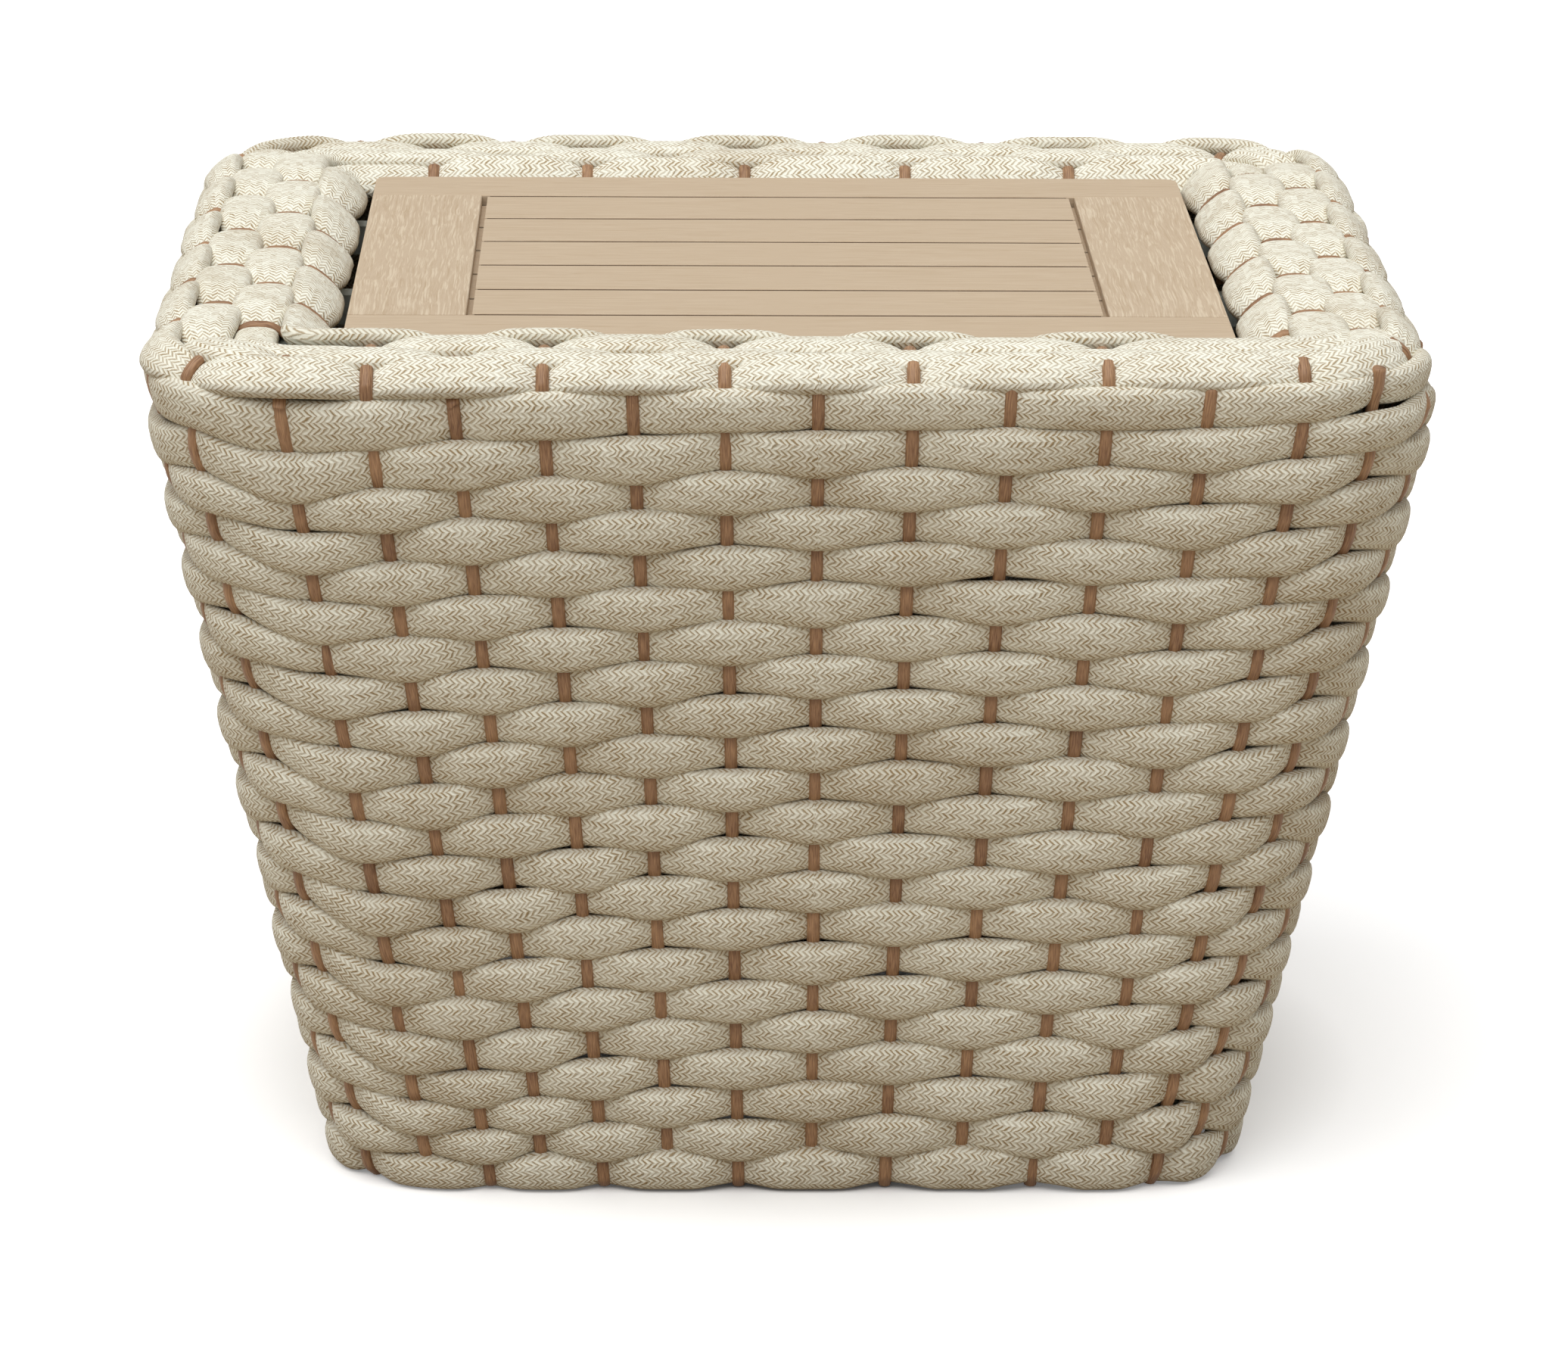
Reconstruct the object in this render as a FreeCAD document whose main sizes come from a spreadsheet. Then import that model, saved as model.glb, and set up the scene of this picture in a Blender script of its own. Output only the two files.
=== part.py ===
"""Outdoor coffee table: a tapered basket of braided rope woven round upright strands on a
welded frame, with a slatted top that drops into the recess inside the rim.

Millimetres, +Z up, origin on the floor under the middle of the table, front at -Y.
"""
import FreeCAD
import Part
import math
import os
import Sketcher

V = FreeCAD.Vector
UP = V(0, 0, 1)

DIMENSIONS = [
    # The basket, measured on the line of the upright strands
    ("rim_half_width", 297, "half width at the top of the wall"),
    ("rim_half_depth", 286, "half depth at the top of the wall"),
    ("rim_corner_radius", 65, "corner radius at the top of the wall"),
    ("base_corner_radius", 55, "corner radius at the floor"),
    ("wall_slope", 0.202, "how far the wall comes in for each millimetre down"),
    ("rim_strand_z", 419.5, "height of the strands where they lie across the rim"),
    ("rim_bend_radius", 8, "radius of a strand's bend over the rim"),
    ("rim_width", 66.5, "from the outer to the inner leg of a strand"),
    # Strands
    ("strand_count", 52, "upright strands, an even number"),
    ("strand_diameter", 7, "diameter of a strand"),
    ("first_strand_shift", 14.7, "first strand, to the right of the front's middle"),
    ("strand_gather", 0.176, "how much closer the strands stand near the corners at the floor"),
    ("strand_foot_z", 1.6, "lower end of the strands"),
    ("strand_tail", 24, "straight inner leg of a strand in the recess"),
    ("corner_run", 30, "straight run across the rim of a strand in a corner"),
    # Rope
    ("row_count", 22, "rope rows on the wall"),
    ("lowest_row_z", 10.8, "middle of the lowest row"),
    ("row_pitch", 18.8, "height from row to row"),
    ("row_gap", 0.4, "space between rows"),
    ("rope_thickness", 10, "rope across the wall"),
    ("rim_rope_width", 22, "rope width on the rim"),
    ("rim_rope_pitch", 24.5, "spacing of the rope rows on top of the rim"),
    ("rim_edge_angle", 50, "tilt of the rope on the rim's two edges, degrees"),
    ("weave_clearance", 0.4, "space between rope, strand and frame"),
    # Frame
    ("tube_diameter", 14, "rings and posts"),
    ("post_wall", 1.5, "wall of the post tubes"),
    ("ring_margin", 3.5, "space between the outer ring and the weave"),
    ("inner_ring_corner", 22, "corner radius of the inner ring"),
    ("spreader_diameter", 9, "rods between the two top rings"),
    ("spreader_offset", 110, "spreaders from the middle of a side"),
    ("weld_gap", 0.2, "seam between welded pieces"),
    ("bar_width", 15, "bars under the top"),
    ("bar_height", 15, "bars under the top"),
    ("bar_overhang", 5, "bar past the middle of the inner ring"),
    ("pad_diameter", 12, "rest pads under the top"),
    ("pad_offset", 150, "rest pads from the middle of a bar"),
    ("wrap_thickness", 3, "strand wound round the base ring"),
    ("wrap_clearance", 0.15, "between the wrap and the base ring"),
    ("wrap_end_gap", 3, "between the wrap and the posts"),
    ("glide_diameter", 18, "floor glides"),
    ("glide_height", 6, "floor glides"),
    ("glide_edge", 1.5, "rounded lower edge of a glide"),
    # Slatted top
    ("panel_length", 423, "top, along X"),
    ("panel_width", 392, "top, along Y"),
    ("panel_top_z", 421.7, "upper face of the top"),
    ("board_thickness", 18, "all boards of the top"),
    ("board_edge", 0.8, "rounded edges of the boards"),
    ("rail_corner", 8, "rounded corners of the top"),
    ("rail_width", 50, "front and back rails"),
    ("end_board_width", 57, "left and right boards"),
    ("slat_count", 5, "slats"),
    ("slat_gap", 3.4, "space beside each slat"),
    ("slat_end_gap", 3, "space at the ends of the slats"),
    ("tongue_depth", 9, "slat tongue inside the groove"),
    ("tongue_thickness", 8, "slat tongue"),
    ("tongue_drop", 5, "tongue below the face of the slat"),
    ("groove_clearance", 0.3, "space round a tongue"),
    ("dowel_diameter", 8, "dowels between rails and end boards"),
    ("dowel_length", 40, "dowels between rails and end boards"),
    ("dowel_spacing", 26, "the two dowels of a joint"),
    ("dowel_clearance", 0.1, "space round a dowel"),
]

doc = FreeCAD.newDocument("rope_coffee_table")
sheet = doc.addObject("Spreadsheet::Sheet", "Dimensions")
for line, (alias, value, meaning) in enumerate(DIMENSIONS, 1):
    sheet.set(f"A{line}", alias)
    sheet.set(f"B{line}", str(value))
    sheet.set(f"C{line}", meaning)
    sheet.setAlias(f"B{line}", alias)
doc.recompute()


def size(alias):
    """A driving dimension, as the sheet holds it."""
    return float(sheet.get(alias))


def bound(text):
    """An expression whose words that are aliases read the sheet."""
    for alias, _, _ in DIMENSIONS:
        text = text.replace(f"<{alias}>", f"Dimensions.{alias}")
    return text


pieces = []


def keep(piece, label):
    """Register a finished sub-part under its own name."""
    piece.Label = label
    pieces.append(piece)
    return piece


def feature(label, shape):
    """A sub-part whose shape is worked out here from the sheet."""
    piece = doc.addObject("Part::Feature", label)
    piece.Shape = shape
    return keep(piece, label)


# Values shared by the basket's pieces

strand_r = size("strand_diameter") / 2
rope_half = size("rope_thickness") / 2
tube_r = size("tube_diameter") / 2
clearance = size("weave_clearance")
strand_n = int(size("strand_count"))
bend = size("rim_bend_radius")
rim_z = size("rim_strand_z")
slope = size("wall_slope")
lean = math.atan(slope)
bend_z = rim_z - bend
wall_top_z = bend_z - bend * math.sin(lean)
# The rope swings this far to either side of the strands, which lean most in the corners,
# and reaches this deep
corner_lean = math.atan(slope * math.sqrt(2))
swing = (strand_r + clearance + rope_half) / math.cos(corner_lean)
weave_depth = swing + rope_half


# Rounded rectangle, measured along its outline from the middle of the front to the right

class Outline:
    def __init__(self, half_x, half_y, radius):
        self.half_x, self.half_y, self.radius = half_x, half_y, radius
        self.flat_x, self.flat_y = half_x - radius, half_y - radius
        self.arc = math.pi * radius / 2
        # Reach of each side from its middle to the middle of a corner
        self.reach = [self.flat_x + self.arc / 2, self.flat_y + self.arc / 2]
        self.middles = [0]
        for side in range(4):
            self.middles.append(self.middles[-1] + self.reach[0] + self.reach[1])
        self.length = self.middles[-1]

    def on_side(self, side, along):
        """Point and heading at a distance along one side from its middle."""
        flat, out = (self.flat_x, self.half_y) if side % 2 == 0 else (self.flat_y, self.half_x)
        turn = side * math.pi / 2
        extra = abs(along) - flat
        if extra <= 0:
            local, heading = V(along, -out, 0), 0.0
        else:
            heading = math.copysign(extra / self.radius, along)
            local = V(math.copysign(flat, along) + self.radius * math.sin(heading),
                      -out + self.radius * (1 - math.cos(heading)), 0)
        return FreeCAD.Rotation(UP, math.degrees(turn)).multVec(local), heading + turn

    def locate(self, along):
        """Side, and share of that side's reach, at a distance from the middle of the front."""
        along = along % self.length
        for side in range(5):
            reach = self.reach[side % 2]
            if along <= self.middles[side] + reach:
                return side % 4, (along - self.middles[side]) / reach


def outline_at(height):
    """The strand line at a height on the wall, or past its ends."""
    drop = wall_top_z - height
    rim_r, base_r = size("rim_corner_radius"), size("base_corner_radius")
    radius = rim_r + (base_r - rim_r) * drop / wall_top_z
    return Outline(size("rim_half_width") - slope * drop, size("rim_half_depth") - slope * drop, radius)


top_line = outline_at(wall_top_z)
floor_line = outline_at(0)
strand_spacing = top_line.length / strand_n


def outward(heading):
    return V(math.sin(heading), -math.cos(heading), 0)


def along(heading):
    return V(math.cos(heading), math.sin(heading), 0)


class Strand:
    """One upright: where it stands at the top of the wall and at the floor."""

    def __init__(self, index):
        self.index = index
        shift = index * strand_spacing + size("first_strand_shift")
        self.side, share = top_line.locate(shift)
        gathered = share * (1 + size("strand_gather") * (1 - share * share))
        self.top, self.top_heading = top_line.on_side(self.side, share * top_line.reach[self.side % 2])
        self.foot, self.foot_heading = floor_line.on_side(
            self.side, gathered * floor_line.reach[self.side % 2])
        self.top.z = wall_top_z
        inner_x = size("rim_half_width") - size("rim_width") - size("strand_diameter")
        inner_y = size("rim_half_depth") - size("rim_width") - size("strand_diameter")
        self.in_corner = abs(self.top.x) > inner_x and abs(self.top.y) > inner_y

    def at(self, height):
        """Point and heading on the wall at a height."""
        share = 1 - height / wall_top_z
        point = self.top + (self.foot - self.top) * share
        heading = self.top_heading + (self.foot_heading - self.top_heading) * share
        return point, heading


strands = [Strand(index) for index in range(strand_n)]


# Closed rings: a section carried along tangent lines and arcs that lie level

def sew(faces):
    """A solid from faces that meet edge to edge."""
    skin = Part.makeCompound(faces)
    skin.sewShape(0.001)
    solid = Part.makeSolid(skin.Shells[0])
    if solid.Volume < 0:
        solid.reverse()
    return solid


def carry(section, start, heading, end):
    """Face swept by a section from start, where the path has this heading, to end on a level arc."""
    edge = section(start, outward(heading))
    chord = end - start
    left = -1 * outward(heading)
    offside = chord.dot(left)
    if abs(offside) < 1e-6:
        return edge.extrude(chord), heading
    radius = chord.dot(chord) / (2 * offside)
    turn = 2 * math.atan2(offside, chord.dot(along(heading)))
    return edge.revolve(start + left * radius, UP, math.degrees(turn)), heading + turn


def ring(section, stations):
    """Closed ring through stations (point, heading), two tangent arcs from each to the next."""
    faces = []
    for (start, first), (end, last) in zip(stations, stations[1:] + stations[:1]):
        gap = end - start
        both = along(first) + along(last)
        square = 2 * (along(first).dot(along(last)) - 1)
        reach = gap.dot(both)
        if abs(square) < 1e-9:
            length = gap.dot(gap) / (2 * reach)
        else:
            root = math.sqrt(4 * reach * reach - 4 * square * gap.dot(gap))
            length = (2 * reach - root) / (2 * square)
        middle = (start + end + (along(first) - along(last)) * length) * 0.5
        face, heading = carry(section, start, first, middle)
        faces.append(face)
        faces.append(carry(section, middle, heading, end)[0])
    return sew(faces)


def oval(half_thick, half_wide, tilt=0.0):
    """Rope section: its width leans in from upright by the tilt, in degrees."""
    lean_in = math.radians(tilt)

    def section(centre, out):
        width_way = UP * math.cos(lean_in) - out * math.sin(lean_in)
        thick_way = out * math.cos(lean_in) + UP * math.sin(lean_in)
        ellipse = Part.Ellipse(centre + width_way * half_wide, centre + thick_way * half_thick, centre)
        return Part.Edge(ellipse)

    return section


def round_bar(radius):
    """Round section of a tube or rod."""
    def section(centre, out):
        return Part.Edge(Part.Circle(centre, UP.cross(out), radius))

    return section


def plain_ring(section, outline, height):
    """Ring along a rounded rectangle: a line and a corner on each side."""
    stations = []
    for side in range(4):
        flat = outline.flat_x if side % 2 == 0 else outline.flat_y
        for distance in (-flat, flat):
            point, heading = outline.on_side(side, distance)
            point.z = height
            stations.append((point, heading))
    return ring(section, stations)


def inset(outline, distance, corner=None):
    """Outline moved inwards, with its own corner radius where one is given."""
    radius = outline.radius - distance if corner is None else corner
    return Outline(outline.half_x - distance, outline.half_y - distance, radius)


# Rope rows of the wall, over one strand and under the next

rows = int(size("row_count"))
row_half = (size("row_pitch") - size("row_gap")) / 2

for row in range(1, rows + 1):
    row_z = size("lowest_row_z") + (rows - row) * size("row_pitch")
    stations = []
    for strand in strands:
        point, heading = strand.at(row_z)
        side = -1 if (strand.index + row) % 2 else 1
        stations.append((point + outward(heading) * (side * swing), heading))
    feature(f"rope_row_{row:02d}", ring(oval(rope_half, row_half), stations))

# Rope rows of the rim: one over each edge and two on top

rim_rope_half = size("rim_rope_width") / 2
edge_tilt = size("rim_edge_angle")
edge_reach = bend + strand_r + clearance + rope_half
edge_out = edge_reach * math.cos(math.radians(edge_tilt))
edge_up = edge_reach * math.sin(math.radians(edge_tilt))
# Insets from the strand line at the top of the wall
bend_inset = bend * math.cos(lean)
inner_bend_inset = size("rim_width") - bend
rim_top_z = rim_z + strand_r + clearance + rope_half
outer_edge_inset = bend_inset - edge_out
inner_edge_inset = inner_bend_inset + edge_out
rim_rows = [
    (outer_edge_inset, bend_z + edge_up, edge_tilt),
    (outer_edge_inset + size("rim_rope_pitch"), rim_top_z, 90),
    (inner_edge_inset - size("rim_rope_pitch"), rim_top_z, 90),
    (inner_edge_inset, bend_z + edge_up, 180 - edge_tilt),
]
for number, (distance, height, tilt) in enumerate(rim_rows, 1):
    # The two inner rows turn the corner as tightly as the rope allows
    corner = max(top_line.radius - distance, rim_rope_half + rope_half)
    line = inset(top_line, distance, corner)
    feature(f"rope_rim_{number}", plain_ring(oval(rope_half, rim_rope_half, tilt), line, height))

# Upright strands: up the wall, over the rim and down into the recess

def strand_solid(strand):
    """Rod along a strand's path of straight runs and bends."""
    level_in = -1 * outward(strand.top_heading)
    foot = strand.at(size("strand_foot_z"))[0]
    climb = (strand.top - foot).normalize()
    # The wall run ends where an arc of the bend radius leaves it for the level run
    turn = math.acos(max(-1.0, min(1.0, climb.dot(level_in))))
    rise = rim_z - strand.top.z
    corner = strand.top + climb * (rise / climb.z)
    tangent = bend * math.tan(turn / 2)
    start_bend, end_bend = corner - climb * tangent, corner + level_in * tangent
    toward = (level_in - climb).normalize()
    centre = corner + toward * (bend / math.cos(turn / 2))
    middle = centre - toward * bend
    edges = [Part.LineSegment(foot, start_bend).toShape(), Part.Arc(start_bend, middle, end_bend).toShape()]
    if strand.in_corner:
        edges.append(Part.LineSegment(end_bend, end_bend + level_in * size("corner_run")).toShape())
    else:
        inner = strand.top + level_in * size("rim_width")
        inner.z = rim_z
        over = inner - level_in * bend
        down = inner - UP * bend
        diagonal = over - UP * bend + (level_in + UP).normalize() * bend
        edges.append(Part.LineSegment(end_bend, over).toShape())
        edges.append(Part.Arc(over, diagonal, down).toShape())
        edges.append(Part.LineSegment(down, down - UP * size("strand_tail")).toShape())
    path = Part.Wire(edges)
    profile = Part.Wire([Part.Edge(Part.Circle(foot, climb, strand_r))])
    return path.makePipeShell([profile], True, False)


for side, name in enumerate(("front", "right", "back", "left")):
    group = [strand_solid(strand) for strand in strands if strand.side == side]
    feature(f"strands_{name}", Part.makeCompound(group))

# Frame: rings, posts, spreaders and bars

ring_z = rim_z - strand_r - clearance - tube_r
outer_inset = weave_depth + clearance + size("ring_margin") + tube_r
inner_inset = size("rim_width") - strand_r - clearance - tube_r
outer_line = inset(top_line, outer_inset)
inner_line = inset(top_line, inner_inset, size("inner_ring_corner"))
base_z = size("glide_height") + size("weld_gap") + tube_r
base_inset = weave_depth + clearance + size("wrap_thickness") + size("wrap_clearance") + tube_r
base_line = inset(outline_at(size("lowest_row_z")), base_inset)

feature("outer_ring", plain_ring(round_bar(tube_r), outer_line, ring_z))
feature("inner_ring", plain_ring(round_bar(tube_r), inner_line, ring_z))
feature("base_ring", plain_ring(round_bar(tube_r), base_line, base_z))


def rod(start, end, radius, bore=0.0):
    """Straight round rod, or a tube where a bore is given."""
    way = end - start
    shape = Part.makeCylinder(radius, way.Length, start, way)
    if bore:
        shape = shape.cut(Part.makeCylinder(bore, way.Length, start, way))
    return shape


def post(side, share):
    """Tube welded between the base ring and the outer ring."""
    low, _ = base_line.on_side(side, share * base_line.reach[side % 2])
    high, _ = outer_line.on_side(side, share * outer_line.reach[side % 2])
    low.z, high.z = base_z, ring_z
    way = (high - low).normalize()
    stand_off = way * (tube_r + size("weld_gap"))
    return rod(low + stand_off, high - stand_off, tube_r, tube_r - size("post_wall"))


corners = ("front_right", "back_right", "back_left", "front_left")
for side, name in enumerate(corners):
    feature(f"{name}_post", post(side, 1.0))
for side, name in enumerate(("front", "right", "back", "left")):
    feature(f"{name}_post", post(side, 0.0))

spreaders = []
for side in range(4):
    for offset in (-size("spreader_offset"), size("spreader_offset")):
        start, heading = outer_line.on_side(side, offset)
        end, _ = inner_line.on_side(side, offset)
        start.z = end.z = ring_z
        step = -1 * outward(heading) * (tube_r + size("weld_gap"))
        spreaders.append(rod(start + step, end - step, size("spreader_diameter") / 2))
feature("ring_spreaders", Part.makeCompound(spreaders))

# Bars under the rails and the middle slat, each between two strands' inner legs
bar_top_z = ring_z - tube_r - size("weld_gap")
bar_half = inner_line.half_x + size("bar_overhang")
rail_middle = size("panel_width") / 2 - size("rail_width") / 2
rail_step = round(rail_middle / strand_spacing) * strand_spacing
panel_bottom_z = size("panel_top_z") - size("board_thickness")
pads = []
for name, bar_y in (("front", -rail_step), ("middle", 0), ("back", rail_step)):
    bar = doc.addObject("Part::Box", f"{name}_bar")
    bar.setExpression("Width", bound("<bar_width>"))
    bar.setExpression("Height", bound("<bar_height>"))
    bar.Length = 2 * bar_half
    corner = V(-bar_half, bar_y - size("bar_width") / 2, bar_top_z - size("bar_height"))
    bar.Placement = FreeCAD.Placement(corner, FreeCAD.Rotation())
    keep(bar, f"{name}_bar")
    for offset in (-size("pad_offset"), size("pad_offset")):
        foot = V(offset, bar_y, bar_top_z)
        pads.append(rod(foot, foot + UP * (panel_bottom_z - bar_top_z), size("pad_diameter") / 2))
feature("rest_pads", Part.makeCompound(pads))

# Strand wound round the straight runs of the base ring, from post to post
wraps = []
wrap_bore = tube_r + size("wrap_clearance")
for side in range(4):
    flat = base_line.flat_x if side % 2 == 0 else base_line.flat_y
    near = tube_r + size("wrap_end_gap")
    for way in (-1, 1):
        ends = []
        for distance in (near, flat):
            point, _ = base_line.on_side(side, way * distance)
            point.z = base_z
            ends.append(point)
        wraps.append(rod(ends[0], ends[1], wrap_bore + size("wrap_thickness"), wrap_bore))
feature("base_wrap", Part.makeCompound(wraps))

glides = []
for side in range(4):
    foot, _ = base_line.on_side(side, base_line.reach[side % 2])
    foot.z = 0
    disc = rod(foot, foot + UP * size("glide_height"), size("glide_diameter") / 2)
    lower = [edge for edge in disc.Edges if edge.BoundBox.ZMax < size("glide_edge")]
    glides.append(disc.makeFillet(size("glide_edge"), lower))
feature("floor_glides", Part.makeCompound(glides))


# Slatted top: boards as bodies, each padded from the middle of its own length

def board_body(label):
    return doc.addObject("PartDesign::Body", label)


def plane(body, role):
    return next(item for item in body.Origin.OriginFeatures if item.Role == role)


def box_sketch(body, role, name, wide, high, raised):
    """Rectangle centred on the sketch's first axis, its middle raised along the second."""
    sketch = body.newObject("Sketcher::SketchObject", name)
    sketch.AttachmentSupport = (plane(body, role), [""])
    sketch.MapMode = "FlatFace"
    corners = [V(-1, -1, 0), V(1, -1, 0), V(1, 1, 0), V(-1, 1, 0)]
    for start, end in zip(corners, corners[1:] + corners[:1]):
        sketch.addGeometry(Part.LineSegment(start * 4, end * 4))
    for line in range(4):
        sketch.addConstraint(Sketcher.Constraint("Coincident", line, 2, (line + 1) % 4, 1))
    sketch.addConstraint(Sketcher.Constraint("Horizontal", 2))
    for line in (1, 3):
        sketch.addConstraint(Sketcher.Constraint("Vertical", line))
    sketch.addConstraint(Sketcher.Constraint("Symmetric", 0, 1, 0, 2, -2))
    for constraint, word, text in (
        (Sketcher.Constraint("DistanceX", 0, 1, 0, 2, 8), "wide", wide),
        (Sketcher.Constraint("DistanceY", 1, 1, 1, 2, 8), "high", high),
        (Sketcher.Constraint("DistanceY", 0, 1, -1, 1, 4), "below", f"({high}) / 2 - ({raised})"),
    ):
        index = sketch.addConstraint(constraint)
        sketch.renameConstraint(index, word)
        sketch.setExpression(f"Constraints.{word}", bound(text))
    return sketch


def middle_pad(body, sketch, name, length, kind="PartDesign::Pad"):
    """Pad, or pocket, to both sides of the sketch's plane."""
    pad = body.newObject(kind, name)
    pad.Profile = sketch
    pad.Midplane = True
    pad.setExpression("Length", bound(length))
    doc.recompute()
    return pad


def put(body, x="0", y="0", z="0"):
    for axis, text in zip("xyz", (x, y, z)):
        body.setExpression(f".Placement.Base.{axis}", bound(text))


def round_edges(body, base, name, radius, wanted):
    """Fillet the edges of a feature that a test picks."""
    chosen = [f"Edge{i}" for i, edge in enumerate(base.Shape.Edges, 1) if wanted(edge)]
    fillet = body.newObject("PartDesign::Fillet", name)
    fillet.Base = (base, chosen)
    fillet.setExpression("Radius", bound(radius))
    doc.recompute()
    return fillet


def runs(axis, top=None):
    """Test for straight edges along an axis, at the top only where its height is given."""
    def wanted(edge):
        box = edge.BoundBox
        spans = [box.XLength, box.YLength, box.ZLength]
        straight = max(spans) == spans[axis] and sum(spans) - spans[axis] < 1e-6
        return straight and (top is None or box.ZMin > top - 1e-6)

    return wanted


half_board = size("board_thickness") / 2
board_z = "<panel_top_z> - <board_thickness> / 2"
end_board_x = "(<panel_length> - <end_board_width>) / 2"
end_board_length = "<panel_width> - 2 * <rail_width>"
tongue_raise = "<board_thickness> / 2 - <tongue_drop> - <tongue_thickness> / 2"


def drill(body, name, places, face):
    """Blind dowel holes along Y, at places (side, distance) in the end face at this height on Y."""
    sketch = body.newObject("Sketcher::SketchObject", f"{name}_sketch")
    sketch.AttachmentSupport = (plane(body, "XZ_Plane"), [""])
    sketch.MapMode = "FlatFace"
    sketch.setExpression("AttachmentOffset.Base.z", bound(f"-1 * ({face})"))
    for number, (side, distance) in enumerate(places):
        circle = sketch.addGeometry(Part.Circle(V(side * (number + 1) * 20, 0, 0), UP, 3))
        sketch.addConstraint(Sketcher.Constraint("PointOnObject", circle, 3, -1))
        ends = (-1, 1, circle, 3) if side > 0 else (circle, 3, -1, 1)
        for constraint, word, text in (
            (Sketcher.Constraint("DistanceX", *ends, (number + 1) * 20), f"place{number}", distance),
            (Sketcher.Constraint("Radius", circle, 3), f"bore{number}",
             "<dowel_diameter> / 2 + <dowel_clearance>"),
        ):
            index = sketch.addConstraint(constraint)
            sketch.renameConstraint(index, word)
            sketch.setExpression(f"Constraints.{word}", bound(text))
    span = "<dowel_length> + 2 * <dowel_clearance>"
    return middle_pad(body, sketch, name, span, "PartDesign::Pocket")


for label, sign in (("front_rail", -1), ("back_rail", 1)):
    body = board_body(label)
    sketch = box_sketch(body, "XZ_Plane", f"{label}_section", "<panel_length>", "<board_thickness>", "0")
    pad = middle_pad(body, sketch, f"{label}_pad", "<rail_width>")

    def outer_corner(edge):
        return runs(2)(edge) and edge.BoundBox.YMin * sign > 0

    turned = round_edges(body, pad, f"{label}_corners", "<rail_corner>", outer_corner)
    round_edges(body, turned, f"{label}_edges", "<board_edge>", runs(0, half_board))
    places = [(side, f"{end_board_x} {way} <dowel_spacing> / 2") for side in (-1, 1) for way in "-+"]
    drill(body, f"{label}_holes", places, f"{-sign} * <rail_width> / 2")
    put(body, y=f"{sign} * (<panel_width> - <rail_width>) / 2", z=board_z)
    keep(body, label)

for label, sign in (("left_end_board", -1), ("right_end_board", 1)):
    body = board_body(label)
    sketch = box_sketch(body, "XZ_Plane", f"{label}_section", "<end_board_width>", "<board_thickness>", "0")
    pad = middle_pad(body, sketch, f"{label}_pad", end_board_length)
    round_edges(body, pad, f"{label}_edges", "<board_edge>", runs(1, half_board))
    groove = box_sketch(body, "XZ_Plane", f"{label}_groove", "2 * (<tongue_depth> + <groove_clearance>)",
                        "<tongue_thickness> + 2 * <groove_clearance>", tongue_raise)
    groove.setExpression("AttachmentOffset.Base.x", bound(f"{-sign} * <end_board_width> / 2"))
    middle_pad(body, groove, f"{label}_slot", end_board_length, "PartDesign::Pocket")
    for end in (-1, 1):
        places = [(way, "<dowel_spacing> / 2") for way in (-1, 1)]
        drill(body, f"{label}_holes_{end + 2}", places, f"{end} * ({end_board_length}) / 2")
    put(body, x=f"{sign} * {end_board_x}", z=board_z)
    keep(body, label)

slat_width = "(<panel_width> - 2 * <rail_width> - (<slat_count> + 1) * <slat_gap>) / <slat_count>"
slat_length = "(<panel_length> - 2 * <end_board_width> - 2 * <slat_end_gap>)"
for number in range(1, int(size("slat_count")) + 1):
    label = f"slat_{number}"
    body = board_body(label)
    sketch = box_sketch(body, "YZ_Plane", f"{label}_section", slat_width, "<board_thickness>", "0")
    pad = middle_pad(body, sketch, f"{label}_pad", slat_length)
    eased = round_edges(body, pad, f"{label}_edges", "<board_edge>", runs(0, half_board))
    tongue = box_sketch(body, "YZ_Plane", f"{label}_tongue", slat_width, "<tongue_thickness>", tongue_raise)
    middle_pad(body, tongue, f"{label}_tongues", f"{slat_length} + 2 * (<slat_end_gap> + <tongue_depth>)")
    place = f"({number} - (<slat_count> + 1) / 2) * ({slat_width} + <slat_gap>)"
    put(body, y=place, z=board_z)
    keep(body, label)

# Dowels, two in each joint of a rail and an end board
dowels = []
joint_x = (size("panel_length") - size("end_board_width")) / 2
joint_y = size("panel_width") / 2 - size("rail_width")
dowel_half = V(0, size("dowel_length") / 2, 0)
for side_x in (-1, 1):
    for side_y in (-1, 1):
        for way in (-1, 1):
            middle = V(side_x * joint_x + way * size("dowel_spacing") / 2, side_y * joint_y,
                       size("panel_top_z") - half_board)
            dowels.append(rod(middle - dowel_half, middle + dowel_half, size("dowel_diameter") / 2))
feature("top_dowels", Part.makeCompound(dowels))

doc.recompute()

# Nothing is written unless every piece is whole
for item in doc.Objects:
    if "Invalid" in item.State or "Error" in item.State:
        raise RuntimeError(f"{item.Label}: {item.State}")
for piece in pieces:
    if piece.Shape.isNull() or not piece.Shape.isValid():
        raise RuntimeError(f"{piece.Label} has no valid shape")

os.makedirs("parts", exist_ok=True)
for piece in pieces:
    piece.Shape.exportStep(f"parts/{piece.Label}.step")
print(f"{len(pieces)} pieces, strand spacing {strand_spacing:.2f}, swing {swing:.2f}")
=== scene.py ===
"""Looks of the woven rope coffee table: braided ropes, wicker strands, wood-look top and studio."""
import math

import bpy
import numpy as np
from bpy.props import FloatProperty, IntProperty, PointerProperty, StringProperty
from mathutils import Matrix, Vector


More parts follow.
